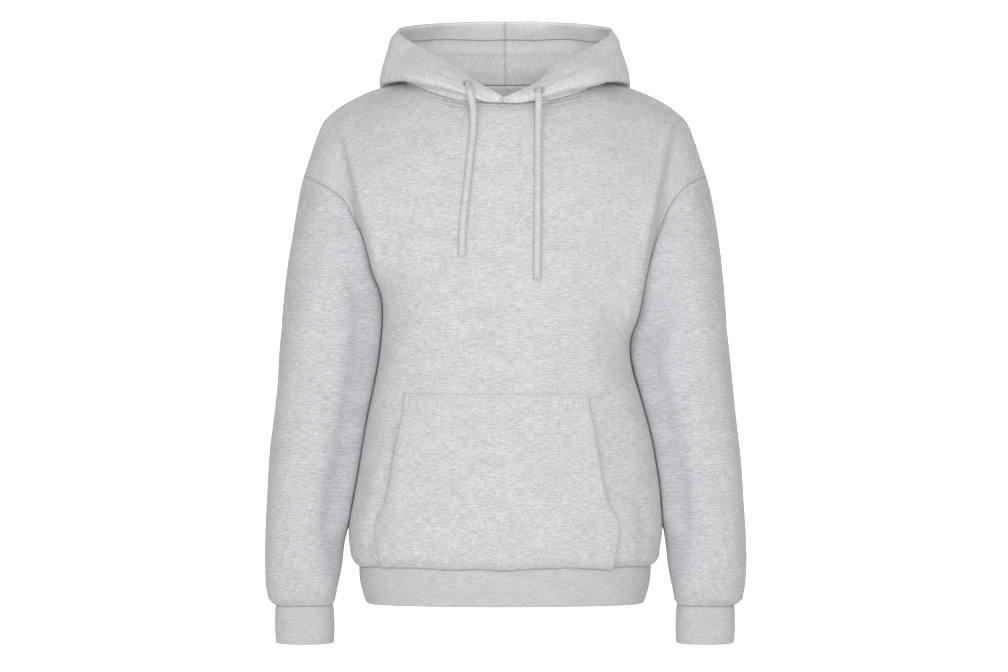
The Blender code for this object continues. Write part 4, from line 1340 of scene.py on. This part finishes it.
def cord_route(table):
    """The line of a hanging cord, from inside its eyelet to its cut end."""
    table = np.array(table, float)
    knots = lengths(table)
    plan = spline(knots, table, np.linspace(0, knots[-1], 420))
    base = np.array([seen(front_tree, x, z)[0] for x, z in plan])
    run = lengths(plan)
    stand = CORD_DEEP / 2 + CORD_OFF
    # it starts inside the cloth, then lies on it, and hangs free over its hollows
    rest = base[:, 1] - stand + (stand + 3.2) * (1.0 - ease(run, -3.0, 16.0))
    hung = rest.copy()
    for _ in range(1500):
        hung[1:-1] = np.minimum(rest[1:-1], (hung[:-2] + hung[2:]) / 2)
    for _ in range(60):
        hung[1:-1] = (hung[:-2] + 2 * hung[1:-1] + hung[2:]) / 4
    line = np.stack([plan[:, 0], hung, plan[:, 1]], 1)
    count = int(lengths(line)[-1] / CORD_STEP)
    return evenly(line, np.linspace(0, 1, count))


def cord_outline(path, sides):
    """A flat tubular knit: upright wales crossed by small slanting loops."""
    angle = np.arange(sides) / sides * 2 * math.pi
    run = lengths(path)[:, None]
    wale = np.abs(np.cos(5 * angle))[None]
    loop = np.sin(run / 1.7 * 2 * math.pi + 1.6 * np.sign(np.sin(10 * angle))[None])
    grow = 0.26 * (wale - 0.6) + 0.11 * loop * wale
    tail = 0.35 * ease(lengths(path)[-1] - run, 0.0, 5.0) - 0.35
    return ((CORD_WIDE / 2 + grow + tail) * np.cos(angle),
            (CORD_DEEP / 2 + grow + tail) * np.sin(angle))


def end_cap(points, first):
    """The ring of points drawn in to close an end of a tube."""
    ring = points[0] if first else points[-1]
    middle = ring.mean(axis=0)
    rows = [middle + (ring - middle) * share for share in CORD_CAP]
    return np.array(rows[::-1] if first else rows)


def drawcord(name, table):
    """A knitted cord along its route, and the route itself."""
    path = cord_route(table)
    out = np.tile([0.0, -1.0, 0.0], (len(path), 1))
    points = sweep(path, out, cord_outline(path, CORD_SIDES))
    points = np.concatenate([end_cap(points, True), points, end_cap(points, False)])
    even = np.ones((len(points), CORD_SIDES + 1))
    u = even * np.linspace(0, CORD_AROUND, CORD_SIDES + 1)
    cap = np.zeros(len(CORD_CAP))
    run = lengths(path)
    v = even * np.concatenate([cap, run, cap + run[-1]])[:, None]
    cord = cloth(name, points, u, v, {}, True, False, CORD_KNIT, wall=0.0)
    return cord, path


def fray(name, path, seed):
    """Loose ends of yarn at the cut end of a cord."""
    chance = np.random.default_rng(seed)
    bm = bmesh.new()
    end = Vector(path[-1])
    way = Vector(path[-1] - path[-6]).normalized()
    for _ in range(FRAY_YARNS):
        turn = chance.uniform(0, 2 * math.pi)
        reach = math.sqrt(chance.uniform(0.05, 1.0))
        root = end + Vector((math.cos(turn) * reach * 3.3, math.sin(turn) * reach * 2.8, 1.2))
        lean = way + Vector((math.cos(turn), math.sin(turn), 0)) * reach * 0.3
        lean = (lean + Vector(chance.normal(0, 0.1, 3))).normalized()
        long = chance.uniform(2.4, 5.0)
        spin = lean.to_track_quat("Z", "Y").to_matrix().to_4x4()
        place = Matrix.Translation((root + lean * long / 2) * MM) @ spin
        bmesh.ops.create_cone(bm, cap_ends=True, segments=5, radius1=0.42 * MM,
                              radius2=0.18 * MM, depth=long * MM, matrix=place)
    return piece(name, bm, THREAD)


cords = {}
for side, table in CORDS.items():
    cord, path = drawcord("drawcord_" + side + "_knit", table)
    tuft = fray("fray_" + side, path, 71 if side == "left" else 72)
    cords[side] = (cord, tuft)


# ---------------------------------------------------------------- cut and sewn pieces
def pick(marks, *names):
    """The marks that a piece's finish reads."""
    return {name: marks[name] for name in names}


front = cloth("front", front_skin, front_marks["u"], front_marks["v"],
              pick(front_marks, "from_neck", "from_arm", "from_hem"),
              False, False, FRONT_FLEECE)
back = cloth("back", back_skin, back_marks["u"], back_marks["v"],
             pick(back_marks, "from_neck", "from_arm", "from_hem"),
             False, True, FRONT_FLEECE)
# the panels' inner faces take the painted light copy of the fleece
for panel in (front, back):
    panel.data.materials.append(BODY_INSIDE_PAINTED_LIGHT)
    panel.modifiers["cloth"].material_offset = 1
sleeves = {}
for side in SIGN:
    skin, _, marks = sleeve_skins[side]
    sleeves[side] = cloth("sleeve_" + side + "_cloth", skin, marks["u"], marks["v"],
                          pick(marks, "from_arm", "from_hem"), True, side == "right",
                          SLEEVE_FLEECE)


def hood_cloth(side):
    """Half of the hood, with another finish on its inner faces."""
    full, shaped, _, marks = hood_skins[side]
    thing = cloth("hood_" + side + "_cloth", full, marks["u"], marks["v"],
                  pick(marks, "from_rim", "from_middle"), False, side == "right",
                  HOOD_FLEECE_PAINTED_LIGHT)
    # outer cloth and its inner face, then the same for the part that stands at the nape; the
    # inner faces take the lighter copies, painted light in the hood's shade
    for material in (HOOD_INSIDE_PAINTED_LIGHT, HOOD_FLEECE_PAINTED_LIGHT, COLLAR_INSIDE_PAINTED_LIGHT):
        thing.data.materials.append(material)
    thing.modifiers["cloth"].material_offset = 1
    across = full.shape[1]
    turned = len(shaped) + 4
    nape = int(np.argmax(shaped[:len(shaped) // 2, 0, 2]))
    for index, face in enumerate(thing.data.polygons):
        row = index // (across - 1)
        face.material_index = 1 if row >= turned else 2 if row < nape else 0
    return thing


def punched(thing, spot, out, wide, tall):
    """A hole through the outer cloth, for the cord."""
    out = Vector(out).normalized()
    side = (Vector((1, 0, 0)) - out * out.x).normalized()
    upward = out.cross(side)
    basis = Matrix((side * wide, upward * tall, out)).transposed().to_4x4()
    bm = bmesh.new()
    place = Matrix.Translation((Vector(spot) + out * 1.4) * MM) @ basis
    bmesh.ops.create_cone(bm, cap_ends=True, segments=40, radius1=MM, radius2=MM,
                          depth=8 * MM, matrix=place)
    cutter = piece("cutter", bm, HOOD_INSIDE_PAINTED_LIGHT)
    cut = thing.modifiers.new("eyelet", "BOOLEAN")
    cut.object = cutter
    cut.operation = "DIFFERENCE"
    cut.solver = "EXACT"
    # a cloth that crosses itself needs the slower way, and comes out empty without it
    before = len(thing.data.polygons)
    for crossed in (False, True):
        cut.use_self = crossed
        graph = bpy.context.evaluated_depsgraph_get()
        made = bpy.data.meshes.new_from_object(thing.evaluated_get(graph),
                                               preserve_all_data_layers=True,
                                               depsgraph=graph)
        if len(made.polygons) > before:
            break
    thing.modifiers.clear()
    thing.data = made
    bpy.data.objects.remove(cutter)


hoods = {}
eyelets = {}
for side, table in CORDS.items():
    hoods[side] = hood_cloth(side)
    spot, out = seen(front_tree, table[0][0], table[0][1] - 1.4)
    eyelets[side] = (spot, out)
    punched(hoods[side], spot, out, EYELET_WIDE / 2, EYELET_TALL / 2)


# ---------------------------------------------------------------- sewing
def line_at(points, out, away, want):
    """The line across a grid where a distance, growing along each column, is met."""
    line = np.empty((points.shape[1], 6))
    both = np.concatenate([points, out], axis=2)
    for c in range(points.shape[1]):
        order = np.argsort(away[:, c])
        for k in range(6):
            line[c, k] = np.interp(want, away[order, c], both[order, c, k])
    return line


def turned(grid):
    """A grid with its rows and columns exchanged."""
    return np.swapaxes(grid, 0, 1)


def stitches(bm, line, pitch, long, wide):
    """One row of stitches along a line of places and outward directions."""
    along = lengths(line[:, :3])
    count = max(int(along[-1] / pitch), 1)
    row = bmesh.new()
    for step in range(count):
        at = (step + 0.5) * along[-1] / count
        spot, out, before, after = (np.array([np.interp(place, along, line[:, k + shift])
                                              for k in range(3)])
                                    for place, shift in ((at, 0), (at, 3), (at - 1, 0),
                                                         (at + 1, 0)))
        ahead = Vector(after - before).normalized()
        top = Vector(out)
        top = (top - ahead * top.dot(ahead)).normalized()
        side = ahead.cross(top)
        basis = Matrix((ahead * long / 2, side * wide, top * wide * 0.8)).transposed()
        place = Matrix.Translation((Vector(spot) + top * 0.16) * MM) @ basis.to_4x4()
        bmesh.ops.create_uvsphere(row, u_segments=6, v_segments=4, radius=MM, matrix=place)
        # a short bmesh is quicker to add to, so a long row is handed over in parts
        if len(row.verts) > 2400 or step == count - 1:
            part = bpy.data.meshes.new("row")
            row.to_mesh(part)
            bm.from_mesh(part)
            bpy.data.meshes.remove(part)
            row.clear()
    row.free()


def sewing(name, lines):
    """All the rows of stitches on one piece."""
    bm = bmesh.new()
    for line in lines:
        stitches(bm, line, STITCH_PITCH, STITCH_LONG, STITCH_WIDE)
    return piece(name, bm, THREAD)


def beside_line(skin, out, across, want):
    """The line at a distance from the start of each row."""
    return line_at(turned(skin), turned(out), turned(across), want)


def body_sewing(skin, out, marks):
    """The rows of stitches on a panel: below the neck and beside both armholes."""
    lines = [line_at(skin[:, at_neck], out[:, at_neck], marks["from_neck"][:, at_neck], want)
             for want in NECK_ROWS]
    upper = slice(low_rows + 3, len(skin))
    reach = run_across(skin)[upper]
    for across in (reach, reach[:, -1:] - reach):
        lines.append(beside_line(skin[upper], out[upper], across, ARM_ROW))
    return lines


front_sewing = sewing("front_sewing", body_sewing(front_skin, front_out, front_marks))
beyond_neck = int((HALF_COLS - NECK_COLS) / COL_STEP)
shoulder = [line_at(back_skin[:, cols], back_out[:, cols], back_marks["from_top"][:, cols],
                    SHOULDER_ROW)
            for cols in (slice(0, beyond_neck), slice(-beyond_neck, None))]
back_sewing = sewing("back_sewing", shoulder + body_sewing(back_skin, back_out, back_marks))
sleeve_sewing = {}
hood_sewing = {}
for side in SIGN:
    skin, out, marks = sleeve_skins[side]
    row = line_at(ring_closed(skin), ring_closed(out), ring_closed(marks["from_arm"]), ARM_ROW)
    sleeve_sewing[side] = sewing("sleeve_" + side + "_sewing", [row])
    _, skin, out, marks = hood_skins[side]
    casing = line_at(skin, out, marks["to_rim"] - casing_width(hood_cols)[None], 0.0)
    middle = beside_line(skin, out, marks["across"], MIDDLE_ROW)
    hood_sewing[side] = sewing("hood_" + side + "_sewing", [casing, middle])


def eyelet_ring(name, spot, out):
    """Close buttonhole stitches around the hole."""
    out = Vector(out).normalized()
    side = (Vector((1, 0, 0)) - out * out.x).normalized()
    upward = out.cross(side)
    if upward.z < 0:
        upward = -upward
    bm = bmesh.new()
    for step in range(EYELET_STITCHES):
        turn = 2 * math.pi * step / EYELET_STITCHES
        way = (side * math.cos(turn) * EYELET_WIDE / 2
               + upward * math.sin(turn) * EYELET_TALL / 2)
        radial = way.normalized()
        tangent = out.cross(radial)
        basis = Matrix((radial * 1.5, tangent * 0.62, out * 0.75)).transposed().to_4x4()
        place = Matrix.Translation((Vector(spot) + way + radial * 0.7) * MM) @ basis
        bmesh.ops.create_uvsphere(bm, u_segments=7, v_segments=5, radius=MM, matrix=place)
    return piece(name, bm, EYELET_THREAD_PAINTED_SHADE)


eyelet_rings = {side: eyelet_ring("eyelet_" + side, *eyelets[side]) for side in eyelets}


# ---------------------------------------------------------------- ribbed bands
def oval(half_width, front_depth, back_depth, power, count):
    """A closed outline, evenly stepped all the way round."""
    angle = np.linspace(0, 2 * math.pi, 1441)
    c, s = np.cos(angle), np.sin(angle)
    depth = np.where(s < 0, front_depth, back_depth)
    loop = np.stack([half_width * np.sign(c) * np.abs(c) ** (2 / power),
                     depth * np.sign(s) * np.abs(s) ** (2 / power),
                     np.zeros_like(c)], 1)
    return evenly(loop, np.arange(count) / count)


def ribbed_band(name, outline, top, bottom, ribs, rise, warp):
    """A band of rib knit, folded at its lower edge and open through its middle."""
    count = 4 * ribs
    shares = np.concatenate([[0.0, 0.02, 0.06], np.linspace(0.12, 0.9, 9), [0.95, 0.98]])
    rib = 0.5 + 0.5 * np.cos(np.arange(count) * math.pi / 2.0)
    rib = np.where(rib > 0.4, 1.0, 0.0) * 0.6 + rib * 0.4

    def level(share, inward, z):
        loop = outline(min(max(share, 0.0), 1.0), count)
        step = np.roll(loop, -1, axis=0) - np.roll(loop, 1, axis=0)
        out = np.stack([step[:, 1], -step[:, 0], np.zeros(count)], 1)
        out /= np.linalg.norm(out, axis=1)[:, None]
        if (out * (loop - loop.mean(axis=0))).sum() < 0:
            out = -out
        soft = float(ease(share, 0.0, 0.08) * (1 - ease(share, 0.93, 1.02)))
        lift = rise * rib * soft - 0.35 * math.exp(-(share / 0.035) ** 2)
        loop = loop + out * (lift * (1 if inward == 0 else -0.5) - inward)[:, None]
        loop[:, 2] = z
        return loop

    reach = bottom - top
    radius = RIB_WALL / 2
    rows = [level(s, 0.0, top + reach * s) for s in shares]
    for turn in np.linspace(0, math.pi, 7)[1:-1]:
        rows.append(level(1.0, radius * (1 - math.cos(turn)),
                          bottom + radius * (1 - math.sin(turn)) - 0.4))
    rows += [level(s, RIB_WALL, top + reach * s) for s in shares[::-1]]
    points = warp(np.array(rows))
    closed = ring_closed(points)
    u = np.ones((len(rows), 1)) * run_across(closed).mean(axis=0, keepdims=True)
    return cloth(name, points, u, -run_up(closed), {}, True, False, RIB_KNIT, wall=0.0)


def hem_outline(share, count):
    """The hem band's outline at a share of its way down."""
    width, fore, aft = smooth_table(HEM, share)[0]
    return oval(width, fore, aft, HEM_POWER, count)


def cuff_outline(sign):
    """A cuff's outline, likewise."""
    def outline(share, count):
        cx, cy, width, depth = smooth_table(CUFF, share)[0]
        return oval(width, depth, depth, CUFF_POWER, count) + (sign * cx, cy, 0.0)
    return outline


hem = ribbed_band("hem_rib", hem_outline, HEM_Z - SEAM_GAP, HEM_BOTTOM, HEM_RIBS, HEM_RISE,
                  hem_set)
cuffs = {}
for side in ("right", "left"):
    cuffs[side] = ribbed_band("cuff_" + side + "_rib", cuff_outline(SIGN[side]), CUFF_TOP,
                              CUFF_BOTTOM, CUFF_RIBS, CUFF_RISE, np.copy)


# ---------------------------------------------------------------- kangaroo pocket
def pocket_base():
    """The pocket's points over the front, with the room that it has under it."""
    levels = np.concatenate([[-621.6, -619.5, -616.0], np.linspace(-611, -406, 64),
                             [-404.2, -403.0]])
    shares = np.linspace(-1, 1, 113)
    shares = np.sign(shares) * (1 - (1 - np.abs(shares)) ** 1.12)
    rows = []
    for z in levels:
        half_width, edge = smooth_table(POCKET, z)[0]
        down = (z - levels[0]) / (levels[-1] - levels[0])
        row = []
        for u in shares:
            x = POCKET_CENTRE + u * half_width
            want = hem_set(np.array([[x, -128.0, z]]))[0]
            base, way = seen(front_tree, x, want[2])
            belly = POCKET_BELLY * (1 - u * u) * math.sin(math.pi * down)
            side = (edge - POCKET_LIFT) * abs(u) ** 3
            row.append(base + way * (POCKET_LIFT + belly + side + POCKET_CLOTH))
        rows.append(row)
    return np.array(rows)


def pocket_form():
    """The pocket with its folds, its outward directions and its marks."""
    points = pocket_base()
    normal = grid_normals(points, False, False)
    up = run_up(points)
    across = run_across(points)
    edge = np.minimum(beside_edges(across), up[-1:] - up)
    rise = slack(points, 83, 95.0, 0.7)
    for row in POCKET_FOLDS:
        rise += fold(points[..., 0], points[..., 2], *row)
    rise *= ease(np.minimum(edge, up), 0.0, 22.0)
    rise += pucker(across, up, 12, 18.0, 0.7)
    # its right opening stands off the front, and all its other edges lie down to it
    crisp = ease(across - across[:, -1:] / 2, -20.0, 20.0) * (up[-1:] - up > 12.0)
    rise -= (1.0 - crisp) * 1.2 * bell(edge, 2.6)
    rise += crisp * 0.8 * bell(edge, 9.0)
    shaped = points + normal * rise[..., None]
    middle = across[:, [across.shape[1] // 2]]
    return shaped, grid_normals(shaped, False, False), {
        "u": across - middle, "v": up, "from_edge": edge, "across": across}


pouch_skin, pouch_out, pouch_marks = pocket_form()
pouch = cloth("kangaroo_pocket", pouch_skin, pouch_marks["u"], pouch_marks["v"],
              pick(pouch_marks, "from_edge"), False, False, POCKET_FLEECE, POCKET_CLOTH)
pouch_lines = []
from_left = pouch_marks["across"]
from_top = pouch_marks["v"][-1:] - pouch_marks["v"]
for want in POCKET_ROWS:
    inner = slice(3, -3)
    pouch_lines.append(line_at(pouch_skin[:, inner], pouch_out[:, inner], from_top[:, inner],
                               want))
    for reach in (from_left, from_left[:, -1:] - from_left):
        pouch_lines.append(beside_line(pouch_skin[:-2], pouch_out[:-2], reach[:-2], want))
pocket_sewing = sewing("pocket_sewing", pouch_lines)


# ---------------------------------------------------------------- stage and light
def backdrop(name, size, place, colour, glow):
    """A painted board behind or below the garment."""
    bm = bmesh.new()
    bmesh.ops.create_grid(bm, x_segments=8, y_segments=8, size=size, matrix=place)
    material, tree, shader = finish(name + "_paint", Roughness=0.9,
                                    Emission_Color=(1.0, 1.0, 1.0, 1),
                                    Emission_Strength=glow)
    spot = tree.nodes.new("ShaderNodeTexCoord")
    mottle = noise(tree, spot.outputs["Object"], 3.0, 3.0)
    ramped(tree, mottle, [c * 0.99 for c in colour], colour, (0.0, 1.0), shader)
    return piece(name, bm, material)


upright = Matrix.Rotation(math.pi / 2, 4, "X")
floor = backdrop("floor", 4.2, Matrix.Translation((0.0, 0.4, -1.42)), (0.86, 0.86, 0.86), 0.0)
wall = backdrop("wall", 5.0, Matrix.Translation((0.0, 7.0, 1.0)) @ upright,
                (0.9, 0.9, 0.9), 0.9)

world = bpy.data.worlds.new("studio")
world.use_nodes = True
world.node_tree.nodes["Background"].inputs["Color"].default_value = (1.0, 1.0, 1.0, 1)
world.node_tree.nodes["Background"].inputs["Strength"].default_value = 0.5
bpy.context.scene.world = world
bpy.context.scene.view_settings.view_transform = "Standard"


def softbox(name, where, aim, size, power):
    """A broad lamp turned towards its aim."""
    data = bpy.data.lights.new(name, "AREA")
    data.shape = "RECTANGLE"
    data.size, data.size_y = size
    data.energy = power
    lamp = bpy.data.objects.new(name, data)
    lamp.location = where
    lamp.rotation_euler = (Vector(aim) - Vector(where)).to_track_quat("-Z", "Y").to_euler()
    bpy.context.scene.collection.objects.link(lamp)


softbox("key", (0.4, -3.3, 0.1), (0.0, 0.0, -0.1), (1.5, 1.3), 47.0)
softbox("fill", (-1.4, -3.0, 0.1), (0.0, 0.0, -0.15), (1.2, 1.8), 19.0)

# ---------------------------------------------------------------- riding and cloth facts
#    piece, its solid, flat size and area of its cut in metres, what is sewn on it
PARTS = [
    (front, "front_panel", (0.60, 0.66), 0.330, (front_sewing,)),
    (back, "back_panel", (0.60, 0.69), 0.340, (back_sewing,)),
    (sleeves["left"], "sleeve_left", (0.50, 0.58), 0.215, (sleeve_sewing["left"],)),
    (sleeves["right"], "sleeve_right", (0.50, 0.58), 0.215, (sleeve_sewing["right"],)),
    (hoods["left"], "hood_left", (0.36, 0.46), 0.135,
     (hood_sewing["left"], eyelet_rings["left"])),
    (hoods["right"], "hood_right", (0.36, 0.46), 0.135,
     (hood_sewing["right"], eyelet_rings["right"])),
    (pouch, "pocket", (0.31, 0.22), 0.062, (pocket_sewing,)),
    (hem, "hem_band", (0.99, 0.106), None, ()),
    (cuffs["left"], "cuff_left", (0.22, 0.104), None, ()),
    (cuffs["right"], "cuff_right", (0.22, 0.104), None, ()),
]
for thing, node, flat, area, sewn in PARTS:
    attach(thing, "root")
    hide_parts(node)
    for seam in sewn:
        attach(seam, "root")
for side, (cord, tuft) in cords.items():
    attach(cord, "root")
    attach(tuft, "root")
    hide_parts("drawcord_" + side)
